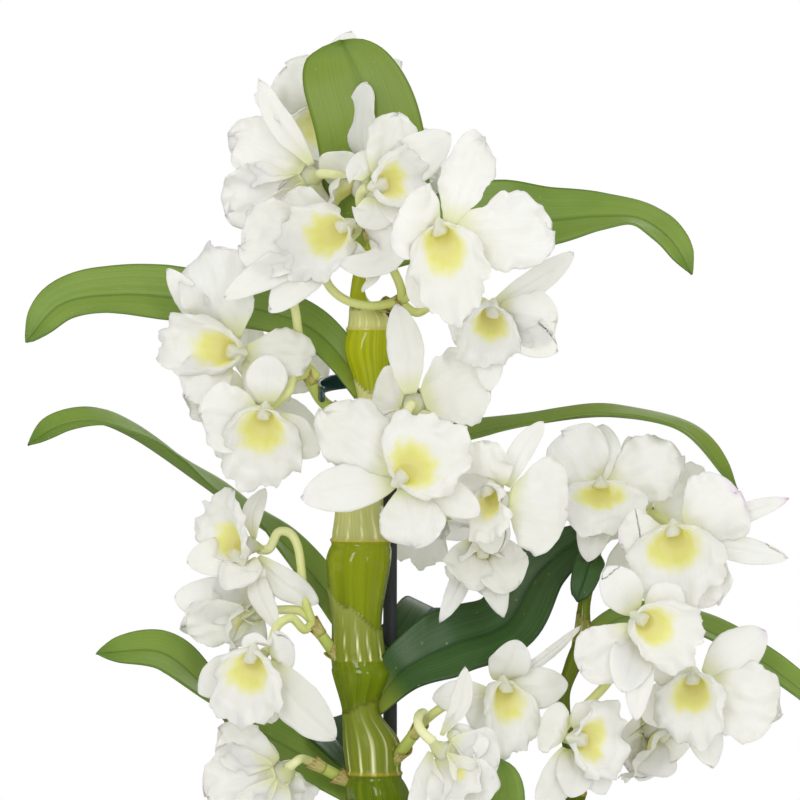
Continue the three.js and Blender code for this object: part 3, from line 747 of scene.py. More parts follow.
# way: the midrib; look: which way the upper face points, base to tip, 0 up and 90 to the front
leaves = {
    "crown": {"way": [(-11, 0, 425), (-9, -5, 450), (-11.5, -9, 474), (-16.5, -8.5, 491), (-20, -6, 499.5),
                      (-22.5, -4, 504.5)],
              "wide": 37, "look": [90, 90, 90], "fold": 0.08, "notch": 0.03, "blunt": 8, "lopsided": 0.25,
              "lead": 7, "skin": "leaf_light"},
    "upper_right": {"way": [(-10, 0, 421), (12, -2, 432), (38, -1, 437), (57, 0, 437), (76, -1, 438.5),
                            (91, -3, 437.5), (102.6, -8, 429), (110.2, -12, 415.5)],
                    "wide": 30, "look": [60, 68, 68, 45, 22, 30], "fold": 0.12, "blunt": 2.2,
                    "skin": "leaf"},
    "upper_left": {"way": [(-13, 0, 371), (-19.5, 0, 381), (-28.5, 3, 391.5), (-38, 6, 398),
                           (-58.9, 8, 404), (-79.8, 8, 407), (-106.4, 7, 409), (-129.2, 4, 404.9),
                           (-142.1, 0, 390)],
                   "wide": 25, "look": [60, 60, 55, 50, 60], "foot": 0.32, "full": 0.6, "skin": "leaf"},
    "middle_left": {"way": [(-17, 0, 279), (-28.5, 14, 295.8), (-45.6, 24, 314.8), (-60.8, 25, 326.2),
                            (-76, 24, 337.6), (-102.6, 14, 355.8), (-116, 9, 360.8), (-129, 4, 358.9),
                            (-141, -4, 351)],
                    "wide": 20, "look": [35, 20, 8, 10, 20, 50], "fold": 0.18, "foot": 0.5, "full": 0.5,
                    "skin": "leaf"},
    "lower_left": {"way": [(-10, 0, 214), (-36, 20, 231), (-57, 26, 243), (-74, 20, 258), (-91, 8, 272),
                           (-115, -6, 272)],
                   "wide": 22, "look": [60, 50, 35, 30, 55, 60], "fold": 0.1, "skin": "leaf"},
    "middle_right": {"way": [(-14, 0, 346), (20, 8, 354), (50, 12, 360), (82, 8, 363), (110, 2, 356),
                             (128, -4, 334)],
                     "wide": 19, "look": [25, 14, 8, 10], "fold": 0.12, "skin": "leaf_light"},
    "lower_right": {"way": [(-10, 0, 252), (2, -8, 267), (20, -6, 276), (40, 4, 283), (53, 12, 303),
                            (75, 18, 319)],
                    "wide": 25, "look": [60, 65, 60, 60], "fold": 0.12, "skin": "leaf_dark"},
    "back_right": {"way": [(-12, 4, 262), (4, 20, 277), (12, 40, 288), (18, 66, 282)],
                   "wide": 21, "look": [70, 50, 20], "fold": 0.12, "skin": "leaf_dark"},
    "back_left": {"way": [(-12, 2, 224), (-24, 20, 238), (-30, 50, 244), (-32, 80, 228)],
                  "wide": 19, "look": [60, 20, 0], "fold": 0.12, "skin": "leaf_dark"},
    "right_cane_short": {"way": [(74, 2, 310), (71, -9, 304), (67, -14, 292)],
                         "wide": 10, "look": [60, 80, 80], "fold": 0.1, "skin": "leaf_dark"},
    "right_cane_long": {"way": [(69, 0, 277), (88, 12, 286), (111, 12, 283), (138, 6, 269), (170, -4, 244)],
                        "wide": 16, "look": [30, 22, 30], "skin": "leaf"},
    "bottom_front": {"way": [(-6, 0, 181), (12, -16, 192), (28, -24, 206), (35, -26, 222), (34, -28, 235)],
                     "wide": 30, "look": [80, 85, 85], "skin": "leaf"},
    "bottom_left": {"way": [(-6, 0, 184), (-40, -6, 202), (-78, -14, 192), (-106, -20, 160)],
                    "wide": 22, "look": [40, 30, 40], "skin": "leaf_dark"},
    "bottom_right": {"way": [(57, 3, 186), (80, -4, 200), (108, -10, 192), (134, -14, 164)],
                     "wide": 20, "look": [40, 30, 40], "skin": "leaf"},
    "base_front": {"way": [(-4, 0, 140), (12, -30, 160), (32, -62, 156), (46, -92, 128)],
                   "wide": 21, "look": [30, 20, 20], "skin": "leaf_dark"},
    "base_back": {"way": [(-4, 0, 142), (-18, 36, 164), (-32, 72, 162), (-42, 104, 136)],
                  "wide": 22, "look": [0, -20, -20], "skin": "leaf"},
}
# What a leaf doesn't give is taken from here. fold: depth of the channel; foot: width at the base;
# full: where the leaf is widest; blunt: a higher number is a blunter tip; notch: a cleft tip;
# lopsided: how much narrower one side is; lead: how far the other side runs ahead at the tip.
leafCut = {"fold": 0.15, "foot": 0.3, "full": 0.3, "blunt": 5, "notch": 0, "lopsided": 0, "lead": 0,
           "thick": 0.9, "across": 20, "perMillimetre": 0.5, "waveDeep": 0.7, "waveLong": 26,
           "groove": 0.35, "grooveWide": 0.06, "softFold": 0.012}


def makeLeaf(name, leaf, number):
    route = Route(leaf["way"])
    bm = bmesh.new()
    grain = bm.verts.layers.float_vector.new("leafGrain")
    looks = leaf["look"]

    def shape(u, v):
        share = v * (1 - leaf["notch"] * (1 - abs(u)) * v ** 8)
        ahead = route.ahead(share)
        spot = v * (len(looks) - 1)
        first = min(int(spot), len(looks) - 2)
        look = math.radians(mix(looks[first], looks[first + 1], spot - first))
        sideways = ahead.cross(Vector((0, -math.sin(look), math.cos(look)))).normalized()
        face = sideways.cross(ahead)
        swell = mix(leaf["foot"], 1, min(1, v / leaf["full"]))
        half = leaf["wide"] / 2 * (swell * (1 - v ** leaf["blunt"]) ** 0.7 + 0.1 * ease(1, 0.93, v))
        half *= 1 - leaf["lopsided"] * u * v ** 3
        bend = math.sqrt(u * u + leaf["softFold"])
        wave = leaf["waveDeep"] * u * u * drift(v * route.length / leaf["waveLong"], u + number * 3)
        groove = -leaf["groove"] * bell(u, 0, leaf["grooveWide"])
        depth = 2 * leaf["fold"] * bend * half - leaf["fold"] * half
        depth += wave * ease(0, 0.15, v) + groove * ease(0, 0.2, v)
        lead = ahead * leaf["lead"] * max(0, -u) * half / leaf["wide"] * 2 * v ** 4
        return route.at(share) + sideways * u * half + face * depth + lead

    def notes(vert, u, v):
        vert[grain] = Vector((u, v, number * 2.7))

    sheet(bm, leaf["across"], round(route.length * leaf["perMillimetre"]), shape, notes)
    finishPiece(bm, "blade_" + name, leafSkins[leaf["skin"]], leaf["skin"], ["leaf_" + name], leaf["thick"])


for number, (name, leaf) in enumerate(leaves.items()):
    makeLeaf(name, {**leafCut, **leaf}, number)
print("leaves made")


# Each spray: root on the cane, fork, bunches of blooms, and for some a bend on the way or an extra stalk.
# Each bloom: throat; faces (yaw, tilt, roll); size; lip: where its far rim lies from the throat (right, up)
# and how wide it is; tips: where the five petals end (right, back, up, wide), or a whole way of such places;
# stem: places its stalk passes. No tips: an even star.
sprays = {
    "crown": {"root": (-12, 0, 426), "fork": (-15, 4, 440), "bunches": [
        [{"throat": (-30, 14, 476), "faces": (-20, 0, 17), "size": 0.95,
          "tips": [(11, 8, 34, 16), (31, 8, 22, 14), (14, 14, -24, 16), (-26, 6, 9, 14),
                   (-14, 2, 21, 26)]}],
        [{"throat": (-38, -10, 453), "faces": (-140, 0, 35), "size": 0.95,
          "tips": [(-15.6, -8, 36.5, 10), (-27, 0, 15.6, 26), (-28.5, 4, -15, 28), (-13, -2, -34, 26),
                   (8, -6, -22, 16)]}],
        [{"throat": (-20, -12, 450), "faces": (-95, 15, -5), "size": 0.85,
          "tips": [(7.6, 2, 38.4, 14.5), (-10, -6, 10, 15), [(9.5, -22, -14), (16.3, -28, -20),
                                                             (16.3, -31, -27.7), (8.7, -31, -31.5),
                                                             (-4, -28, -31, 14)],
                   [(12, -20, -20), (12, -28, -32), (6, -28, -42, 9)], (4, 16, 14, 18)]}],
        [{"throat": (2, 34, 462), "faces": (160, 10, 10), "size": 0.9,
          "tips": [(-8, 6, 28, 16), (14, 6, 2, 22), (12, 8, -22, 15), (-16, 8, -24, 15),
                   (-24, 6, 6, 26)]}]]},
    "upper": {"root": (-8, -2, 403), "fork": (-1, -13, 405), "bunches": [
        [{"throat": (-23, -36, 432), "faces": (-25, 0, 60), "size": 0.95, "lip": (-27, -14, 29),
          "tips": [(-22, 14, 10, 20), (3, 4, -14, 20), (-26, 6, -31, 16), (-43, 4, -26, 13),
                   (-38, 8, -6, 28)],
          "stem": [(-11, -16, 403.5), (-21, -16, 406), (-27, -16, 411.5), (-28.5, -18, 418)]}],
        [{"throat": (-5.5, -52, 448), "faces": (35, 5, 20), "size": 0.9, "lip": (21, 4.6, 24),
          "tips": [(5, 8, 27, 21), (24, 6, 19, 18), (14, 12, -14, 16), (-8, 12, -16, 16),
                   (-14, 10, 8, 14)]}],
        [{"throat": (15, -78, 428), "faces": (-12, -5, 20), "size": 1, "lip": (8.7, -30, 29),
          "tips": [(16.3, 10, 37.2, 19), (42, 6, 2, 29), (10, 12, -30, 16), (-9, 10, -26, 16),
                   (-16, -2, 9, 28)]}],
        [{"throat": (34, -42, 399), "faces": (10, -20, 55), "size": 0.95, "lip": (-4, -20, 24),
          "tips": [(31, 8, 24, 10), (25, 4, -2, 22), (25, 2, -13, 16), (-1, 8, -28, 12), (-14, 4, -10, 20)],
          "stem": [(6, -16, 401), (13, -20, 404)]}]]},
    "upper_left": {"root": (-18, 2, 362), "bend": (-29, 0, 367), "fork": (-35.5, -4, 380), "bunches": [
        [{"throat": (-64.6, -20, 386.5), "faces": (-20, 0, 95), "size": 1, "lip": (-30, 4.6, 23),
          "tips": [(33, 6, -2, 19), (23, 0, -19, 17), (-16, 2, -18, 20), (-23.6, 8, 31, 12),
                   (-7, 6, 42, 30)]}],
        [{"throat": (-51, -36, 361), "faces": (-10, -15, 5), "size": 0.9, "lip": (-3, -28, 31),
          "tips": [(2, 12, 24, 16), (21, 0, -13, 15), (8, 14, -22, 14), (-18, 12, -14, 14),
                   (-24, 4, 2, 26)],
          "stem": [(-36, -9, 378), (-40, -16, 376), (-42, -24, 371)]}],
        [{"throat": (-58, 28, 372), "faces": (-150, 10, 20), "size": 0.9}]],
        "extra": [[(-31, -3, 376), (-37, -6, 384), (-38.5, -10, 394), (-40, -16, 404), (-43, -20, 411),
                   (-47, -22, 411)]]},
    "middle": {"root": (-10, -4, 352), "fork": (-3, -20, 355), "bunches": [
        [{"throat": (2, -58, 341), "faces": (0, 10, -155), "size": 1, "lip": (19, 17, 35),
          "tips": [(3, 0, -28, 25), (-39, 4, -9, 18), (-32, 8, 24, 26), (14, 14, 14, 15),
                   (28, 6, -15, 14)]}],
        [{"throat": (6, -26, 368), "faces": (170, 10, 0), "size": 0.95,
          "tips": [(-7, -8, 36, 14), (27, -6, 9, 30), (14, -4, -24, 16), (-14, -4, -18, 16),
                   (-16, -2, 4, 22)]}]]},
    "middle_right": {"root": (-10, 0, 318), "fork": (8, -6, 322), "bunches": [
        [{"throat": (33, -42, 332), "faces": (-35, 0, 30), "size": 1, "lip": (5, -15, 20),
          "tips": [(20.5, 8, 28, 9), (30, 2, -5, 37), (2, 12, -22, 14), (-16, 8, -6, 14),
                   (-2, -6, 21, 20)]},
         {"throat": (31, -22, 310), "faces": (10, -60, 0), "size": 0.85,
          "tips": [(-16, 4, -26, 8), (8, 4, -24, 11), (14, -4, -11, 20), (-8, -6, -11, 20),
                   (0, 14, 2, 20)]}]]},
    "back": {"root": (-15, 3, 316), "fork": (-14, 18, 326), "bunches": [
        [{"throat": (8, 50, 326), "faces": (165, 0, -15), "size": 0.95,
          "tips": [(2, 10, 34, 16), (32, 6, 12, 28), (22, 8, -10, 15), (-20, 8, -10, 15),
                   (-28, 6, 12, 28)]}]]},
    "left": {"root": (-22, -2, 268), "fork": (-32, -4, 282), "bunches": [
        [{"throat": (-62.5, -12, 311.5), "faces": (-50, 0, 160), "size": 0.95, "lip": (-10, 22, 28),
          "tips": [(11.4, 8, 23, 8), (16.3, 2, -30, 9.5), (31.5, 8, -21, 12), (-18, 2, -5, 15),
                   (4, -4, -14, 20)],
          "stem": [(-36, -4, 292), (-39, -3, 313), (-42, -2, 317.5), (-46, -3, 318)]},
         {"throat": (-60, 6, 288), "faces": (-100, 0, 10), "size": 0.8,
          "tips": [(-10, 0, 12, 18), (12, 4, 6, 12), (2, 4, -14, 18), (-24, -2, -7, 19), (-26, 0, 5, 18)]}],
        [{"throat": (-56, -32, 270), "faces": (-25, -15, 18), "size": 0.95, "lip": (-4, -26, 30),
          "tips": [(3, -2, 11, 12), (32, 2, -29, 18), (8, 14, -24, 14), (-20, 14, -12, 16), (16, 8, 6, 16)],
          "stem": [(-36, -6, 281), (-41, -9, 285.5), (-46, -12, 283)]}]]},
    "low_left": {"root": (-18, 0, 222), "fork": (-32, -6, 230), "bunches": [
        [{"throat": (-47, -8, 226), "faces": (-150, -20, 20), "size": 0.95,
          "tips": [(-22, -2, 18, 20), (-27, -4, -8, 32), (-8, -10, -24, 24), (7, 2, -12, 12),
                   (-14, 6, 6, 20)]}]]},
    "low_right": {"root": (-3, -4, 230), "fork": (7, -11, 244), "bunches": [
        [{"throat": (40, -22, 258), "faces": (20, 0, 0), "size": 0.95, "lip": (1, -24, 23),
          "tips": [(4, -2, 20, 16), (28.5, 10, 24.7, 4.5), (23.6, 8, 2.7, 16), (-13, 4, -14, 20),
                   (-28, 10, -3, 13)]}],
        [{"throat": (20, -44, 236), "faces": (125, -30, 20), "size": 0.9,
          "tips": [(4.3, 0, 33, 8), (16.5, -4, -4, 25), (7, -8, -22, 28), (-16, -2, -21, 13),
                   (5, -4, 11, 20)]}]]},
    "right_upper": {"root": (74, 2, 314), "fork": (80, 6, 322), "bunches": [
        [{"throat": (76, -8, 334), "faces": (0, 20, 0), "size": 0.95, "lip": (0, -20, 34),
          "tips": [(1, 14, 25, 16), (32, 6, 13, 26), (-5, -2, -27, 13), (-12, 10, -8, 14),
                   (-15, 4, 22, 26)]}],
        [{"throat": (102, -36, 317), "faces": (-15, 0, 10), "size": 1, "lip": (4, -27, 38),
          "tips": [(44, 12, 14, 8), (25, 2, 17, 30), (44, 10, -8.5, 10), (17, 0, -26, 22),
                   (-20, 6, -3, 24)]}],
        [{"throat": (98, 34, 322), "faces": (160, 0, 10), "size": 0.9}]]},
    "right_middle": {"root": (67, 0, 270), "fork": (78, -4, 268), "bunches": [
        [{"throat": (91, -52, 286), "faces": (10, 0, -50), "size": 0.95, "lip": (20, -12, 26),
          "tips": [(-15, 4, 20, 16), (14, 8, 12, 16), (-9, -2, -26, 17), (-4, 0, -37, 11),
                   (-24, 4, -19, 22)]}],
        [{"throat": (110, -22, 261), "faces": (-15, 0, 20), "size": 1, "lip": (0, -23, 28),
          "tips": [(28, 8, 20, 18), (34, 2, -11, 30), (8, 8, -32, 14), (-18, 10, -14, 18),
                   (-16, 6, 12, 16)]}],
        [{"throat": (100, 20, 238), "faces": (60, -50, 0), "size": 0.85,
          "tips": [(8, 0, 12, 20), (6, 4, -9, 22), (-6, 0, -14, 24), (-14, -2, -10, 22), (-10, 4, 8, 18)]}],
        [{"throat": (69, -34, 241), "faces": (35, 0, -75), "size": 0.95, "lip": (17, -2, 30),
          "tips": [(-17, 2, 6, 20), (-5, 2, -22, 15), (-17, 6, -26, 14), (8, 8, -21, 13),
                   (6, 8, 14, 16)]}]]},
}
# petalFrom: a petal wider than this is cut as one of the broad pair
bloomCut = {"fifth": 72, "hub": 4.2, "hubBack": 13.5, "tipLong": 36, "thick": 0.28, "turned": 0.62,
            "bulge": 3.5, "cup": 0.09, "lean": 0.22, "rosy": 0.9, "fullRuffle": 34, "fold": 0.22,
            "crease": 0.5, "notch": 0.024, "fineNotch": 0.01, "short": 0.016, "frill": 0.3, "crowd": 1.5,
            "ruffleFine": 0.11, "frillFine": 0.27, "foldFine": (0.12, 0.26), "mostShort": 0.12,
            "kinds": ["sepal", "petal", "sepal", "sepal", "petal"], "recurve": [6, 3, 7, 5, 5],
            "petalFrom": 18,
            "sepal": {"wide": 16.5, "back": 9.5, "widest": 0.5, "tip": 1.7, "foot": 0.34, "ruffle": 1.3,
                      "across": 16, "along": 26},
            "petal": {"wide": 30, "back": 7, "widest": 0.6, "tip": 2.1, "foot": 0.24, "ruffle": 4.6,
                      "across": 28, "along": 32}}
# frills and waves of the rim: how many, how deep, how late on the way out they rise, and which turn is theirs
# spread and back: by the share of the way from throat to rim, how far out the lip is and how far back
lipCut = {"far": 25, "leastFar": 18, "near": 4.8, "wide": 29, "mouth": 3.2, "around": 104, "along": 20,
          "frill": 2, "frillFine": 0.16, "patchAt": 0.17, "patchLong": 0.36, "patchWide": 0.34,
          "sides": 2.6, "hood": 6,
          "frills": [(3, 0.07, 1, 0), (8, 0.045, 3, 1), (19, 0.02, 6, 2), (43, 0.01, 6, 5)],
          "waves": [(5, 1.5, 2, 3), (11, 1.1, 4, 4)],
          "spread": [(0, 0), (0.15, 0.07), (0.35, 0.24), (0.7, 0.68), (1, 1)],
          "back": [(0, 3.4), (0.15, 2.3), (0.35, -0.8), (0.62, -3.8), (0.85, -5.2), (1, -4.4)]}
heartCut = {"column": [(0, 3.2), (0.5, 2.8), (0.85, 2.5), (0.97, 1.7), (1, 0)], "columnFrom": 3.6,
            "columnTo": -2.4, "columnUp": 2.4, "droop": 2, "tent": 0.5, "ridge": 1.35, "belly": 0.2,
            "columnGrid": (20, 16), "hub": [(0, 4), (0.2, 4.5), (0.5, 3.4), (0.8, 2.1), (1, 1.7)],
            "hubFrom": 3.2, "sag": 1.6, "hubGrid": (24, 10)}


# the outline of a petal: its half width at v, as a share of the widest place
def petalOutline(cut, v):
    if v < cut["widest"]:
        return mix(cut["foot"], 1, math.sin(math.pi / 2 * v / cut["widest"]) ** 0.9)
    past = (v - cut["widest"]) / (1 - cut["widest"])
    return max(0, 1 - past ** cut["tip"]) ** (1 / cut["tip"])


# one sepal or petal along its way; it turns from the front of its bloom towards the open side
def makeLobe(bm, layers, way, cut, wide, front, number):
    marks, grain = layers
    route = Route(way)
    turned = Vector((0, -1 if front.y < 0.15 else 1, 0))
    cup = bloomCut["cup"] * (1 + drift(number * 5.1, 0.5))
    lean = bloomCut["lean"] * drift(number * 3.3, 7)
    rosy = max(0, drift(number * 2.3, 4)) * bloomCut["rosy"]
    frilled = cut["ruffle"] * min(1, route.length / bloomCut["fullRuffle"])

    # rows lie closer together towards the tip
    def rowPlace(row):
        return 1 - (1 - row) ** bloomCut["crowd"]

    def shape(u, row):
        v = rowPlace(row)
        ahead = route.ahead(v)
        face = front.lerp(turned, bloomCut["turned"] * ease(0, 0.5, v))
        side = ahead.cross(face).normalized()
        face = side.cross(ahead)
        spot = v * route.length
        notch = 1 + bloomCut["notch"] * frilled * drift(spot * 0.15, number * 7, u * 0.7)
        notch += bloomCut["fineNotch"] * frilled * drift(spot * 0.45, number * 5, u)
        uneven = 0.6 + drift(u * 1.6, number * 6) + 0.35 * drift(u * 4, number * 8)
        short = bloomCut["short"] * frilled * uneven * v ** 2
        half = wide / 2 * petalOutline(cut, v) * notch
        across = u * half
        edge = max(u * u, v ** 5 * 0.7) * ease(0.1, 0.5, v)
        coarse, fine, (long, broad) = bloomCut["ruffleFine"], bloomCut["frillFine"], bloomCut["foldFine"]
        ruffle = drift(spot * coarse, across * coarse, number * 4.7) * frilled
        frill = drift(spot * fine, across * fine, number * 9.1) * frilled * bloomCut["frill"]
        fold = bloomCut["fold"] * drift(spot * long, across * broad, number * 2.9) * ease(0.05, 0.3, v)
        height = (ruffle + frill) * edge + fold * frilled - cup * u * u * half * (1.4 - v) + lean * across * v
        height -= bloomCut["crease"] * bell(u, 0, 0.1) * ease(0, 0.3, v) * ease(1, 0.6, v)
        return route.at(v - min(max(0, short), bloomCut["mostShort"])) + side * across + face * height

    def notes(vert, u, row):
        v = rowPlace(row)
        vert[marks] = Vector((0, rosy * ease(0.88, 1, max(v, abs(u) * v * 1.04)), ease(0.32, 0, v) * 0.75))
        vert[grain] = Vector((u * petalOutline(cut, v), v, number * 3.1))

    sheet(bm, cut["across"], cut["along"], shape, notes)


# the lip: a tube round the column that opens into a wide frilled plate
def makeLip(bm, layers, place, far, wide, number):
    marks, grain = layers
    turns = [drift(number * 1.7, each * 3.1) * math.pi for each in range(6)]
    long, centre = (far + lipCut["near"]) / 2, (far - lipCut["near"]) / 2

    def ripple(kind, angle, v):
        return sum(math.sin(count * angle + turns[turn]) * deep * v ** late
                   for count, deep, late, turn in lipCut[kind])

    def plan(angle, v):
        rim = Vector((centre + long * math.cos(angle), wide / 2 * math.sin(angle)))
        mouth = Vector((math.cos(angle), math.sin(angle))) * lipCut["mouth"] * min(1, v * 12)
        return mouth.lerp(rim * (1 + ripple("frills", angle, v)), readStops(lipCut["spread"], v))

    def shape(angle, v):
        along, across = plan(angle, v)
        lower, side = 0.5 + 0.5 * math.cos(angle), math.sin(angle) ** 2
        fine = lipCut["frillFine"]
        wave = drift(along * fine, across * fine, number * 3) * lipCut["frill"] * v
        depth = readStops(lipCut["back"], v) + (ripple("waves", angle, v) + wave) * ease(0.3, 1, v)
        depth += lower ** 2 * ease(0.5, 1, v) - side * lipCut["sides"] * ease(0.2, 0.7, v)
        return place @ Vector((-across, depth + (1 - lower) * lipCut["hood"] * v, -along))

    def notes(vert, angle, v):
        along, across = plan(angle, v)
        off = math.hypot((along / far - lipCut["patchAt"]) / lipCut["patchLong"],
                         across / wide / lipCut["patchWide"])
        off += 0.12 * drift(along * 0.3, across * 0.3, number)
        # beige-pink painted shade on the lower side of the throat, under the column
        shadeBeige = ease(0.34, 0.2, v) * ease(-0.3, 0.4, math.cos(angle))
        vert[marks] = Vector((ease(1.25, 0.3, off) + 0.25 * ease(0.3, 0.1, v), 0.4 * shadeBeige, 0))
        vert[grain] = Vector((across / wide * 1.8, v, number * 5.3))

    sleeve(bm, lipCut["around"], lipCut["along"], shape, notes)


# the column in the throat with its cap, and the hub behind the petals, which narrows to the stalk
def makeHeart(bm, layers, place):
    marks, grain = layers

    def column(angle, v):
        radius = readStops(heartCut["column"], v)
        above = max(0, math.sin(angle))
        right = math.cos(angle) * radius * (1 - heartCut["tent"] * above)
        up = math.sin(angle) * radius * (heartCut["ridge"] if above else heartCut["belly"])
        return place @ Vector((right, mix(heartCut["columnFrom"], heartCut["columnTo"], v),
                               heartCut["columnUp"] + up - heartCut["droop"] * ease(0.2, 1, v)))

    def columnNotes(vert, angle, v):
        # beige-pink painted shade on the underside of the column's tip
        below = ease(0.5, -0.1, math.sin(angle)) * ease(0.7, 0.9, v)
        vert[marks] = Vector((0.22 + 0.5 * below, 0.5 * below, 0.2))
        vert[grain] = Vector((angle * 0.3, v, 0))

    def hub(angle, v):
        radius = readStops(heartCut["hub"], v)
        return place @ Vector((math.cos(angle) * radius, mix(heartCut["hubFrom"], bloomCut["hubBack"], v),
                               math.sin(angle) * radius - heartCut["sag"] * math.sin(math.pi * v)))

    def hubNotes(vert, angle, v):
        vert[marks] = Vector((0, 0, ease(0, 0.8, v) * 0.9))
        vert[grain] = Vector((angle * 0.3, v, 0))

    sleeve(bm, *heartCut["columnGrid"], column, columnNotes)
    sleeve(bm, *heartCut["hubGrid"], hub, hubNotes)


# turns a bloom's own frame (face to -Y, top up) to the way it looks
def facing(angles):
    yaw, tilt, roll = (math.radians(each) for each in angles)
    return Matrix.Rotation(yaw, 3, "Z") @ Matrix.Rotation(-tilt, 3, "X") @ Matrix.Rotation(roll, 3, "Y")


# the ways of the five petals of a bloom, each with its cut and how wide it is
def lobeWays(bloom, turn):
    throat, size = Vector(bloom["throat"]), bloom["size"]
    for lobe, kind in enumerate(bloomCut["kinds"]):
        cut = bloomCut[kind]
        if "tips" in bloom:
            places = bloom["tips"][lobe]
            places = places if isinstance(places, list) else [places]
            wide = places[-1][3]
            cut = bloomCut["petal" if wide > bloomCut["petalFrom"] else "sepal"]
            points = [Vector(place[:3]) for place in places]
        else:
            spread, wide = math.radians(bloomCut["fifth"] * lobe), cut["wide"] * size
            reach = bloomCut["tipLong"] * size
            back = (cut["back"] + bloomCut["recurve"][lobe]) * size
            points = [turn @ Vector((math.sin(spread) * reach, back, math.cos(spread) * reach))]
        own = turn.transposed() @ points[0]
        out = Vector((own.x, 0, own.z)).normalized()
        start = turn @ (out * bloomCut["hub"] + Vector((0, cut["back"], 0))) * size
        if len(points) == 1:
            points = [start.lerp(points[0], 0.5) - turn @ Vector((0, bloomCut["bulge"], 0)), *points]
        yield [throat + point for point in (start, *points)], cut, wide


def makeBunch(name, bunch, number):
    bm = bmesh.new()
    layers = [bm.verts.layers.float_vector.new(each) for each in ("petalMarks", "petalGrain")]
    for order, bloom in enumerate(bunch):
        turn, size = facing(bloom["faces"]), bloom["size"]
        place = Matrix.Translation(bloom["throat"]) @ turn.to_4x4() @ Matrix.Scale(size, 4)
        front = turn @ Vector((0, -1, 0))
        for lobe, (way, cut, wide) in enumerate(lobeWays(bloom, turn)):
            makeLobe(bm, layers, way, cut, wide, front, number * 7.3 + order * 3.7 + lobe)
        far, wide, spin = lipCut["far"], lipCut["wide"], 0
        if "lip" in bloom:
            right, up, wide = bloom["lip"]
            own = turn.transposed() @ Vector((right, 0, up)) / size
            far, wide = max(math.hypot(own.x, own.z), lipCut["leastFar"]), wide / size
            spin = math.atan2(own.x, -own.z)
        place = place @ Matrix.Rotation(-spin, 4, "Y")
        makeLip(bm, layers, place, far, wide, number + order * 0.5)
        makeHeart(bm, layers, place)
    finishPiece(bm, "petals_" + name, petalSkin, "petal", ["bloom_" + name], bloomCut["thick"], merge=0.02)


# A pedicel starts a little inside the fork, leaves it straight, and comes up straight behind its bloom.
# forkPull and bloomPull: how far its two ends pull its curve, with a share of the length between them.
stalkCut = {"stem": 2.1, "stemRibs": 5, "stemGrid": (16, 24), "stemEnds": 30, "pedicel": 1.7,
            "pedicelRibs": 6, "pedicelGrid": (14, 60), "pedicelEnds": 60, "inFork": 0.8, "outOfFork": 1.5,
            "behind": 6, "inHub": 2, "forkPull": (4, 0.3), "bloomPull": (5, 0.4), "parts": 60,
            "ribDeep": 0.03, "greenTo": 0.25, "bracts": (0.15, 0.75), "bractLong": 5.5, "bractWide": 3.1,
            "bractRound": 2.8, "bractTorn": 0.14, "bractWall": 0.35, "bractGrid": (18, 7)}


def makeStalk(name, spray):
    bm = bmesh.new()
    grain = bm.verts.layers.float_vector.new("stalkGrain")
    root, fork = Vector(spray["root"]), Vector(spray["fork"])
    rise = (fork - root).normalized()

    # the share of the way from the root to the bloom, for the colour
    def notes(low, high):
        def write(vert, angle, v):
            vert[grain] = Vector((angle, mix(low, high, v), 0))
        return write

    def ribbed(angle, count):
        return 1 + stalkCut["ribDeep"] * math.cos(count * angle)

    def stemRadius(angle, v):
        wide = stalkCut["stem"] * (1.15 - 0.15 * v)
        return wide * rounded(v, stalkCut["stemEnds"]) * ribbed(angle, stalkCut["stemRibs"])

    def radius(angle, v):
        swell = 1 + 0.12 * ease(0.8, 1, v) + 0.1 * ease(0.15, 0, v)
        wide = stalkCut["pedicel"] * swell
        return wide * rounded(v, stalkCut["pedicelEnds"]) * ribbed(angle, stalkCut["pedicelRibs"])

    stem = Route([root - rise, Vector(spray.get("bend", root.lerp(fork, 0.5))), fork + rise])
    tube(bm, stem, *stalkCut["stemGrid"], stemRadius, notes(0, stalkCut["greenTo"]))
    for place in stalkCut["bracts"]:
        makeBract(bm, grain, stem.at(place), stem.ahead(place), stalkCut["bractWide"] * (1.2 - place * 0.3))
    routes = [Route(line) for line in spray.get("extra", [])]
    for bloom in (bloom for bunch in spray["bunches"] for bloom in bunch):
        size = bloom["size"]
        back = facing(bloom["faces"]) @ Vector((0, 1, 0))
        seat = Vector(bloom["throat"]) + back * (bloomCut["hubBack"] - stalkCut["inHub"]) * size
        start = fork - rise * stalkCut["inFork"]
        if "stem" in bloom:
            straight = seat + back * stalkCut["behind"] * size
            leaving = fork + rise * stalkCut["outOfFork"]
            routes.append(Route([start, leaving, *bloom["stem"], straight, seat]))
        else:
            span = (seat - fork).length
            pulls = (stalkCut["forkPull"], stalkCut["bloomPull"])
            leave, arrive = (own + share * span for own, share in pulls)
            line = geometry.interpolate_bezier(start, fork + rise * leave, seat + back * arrive, seat,
                                               stalkCut["parts"])
            routes.append(Route(line, False))
    for route in routes:
        tube(bm, route, *stalkCut["pedicelGrid"], radius, notes(stalkCut["greenTo"], 1))
    finishPiece(bm, "stems_" + name, stalkSkin, "stalk", ["stalk_" + name])


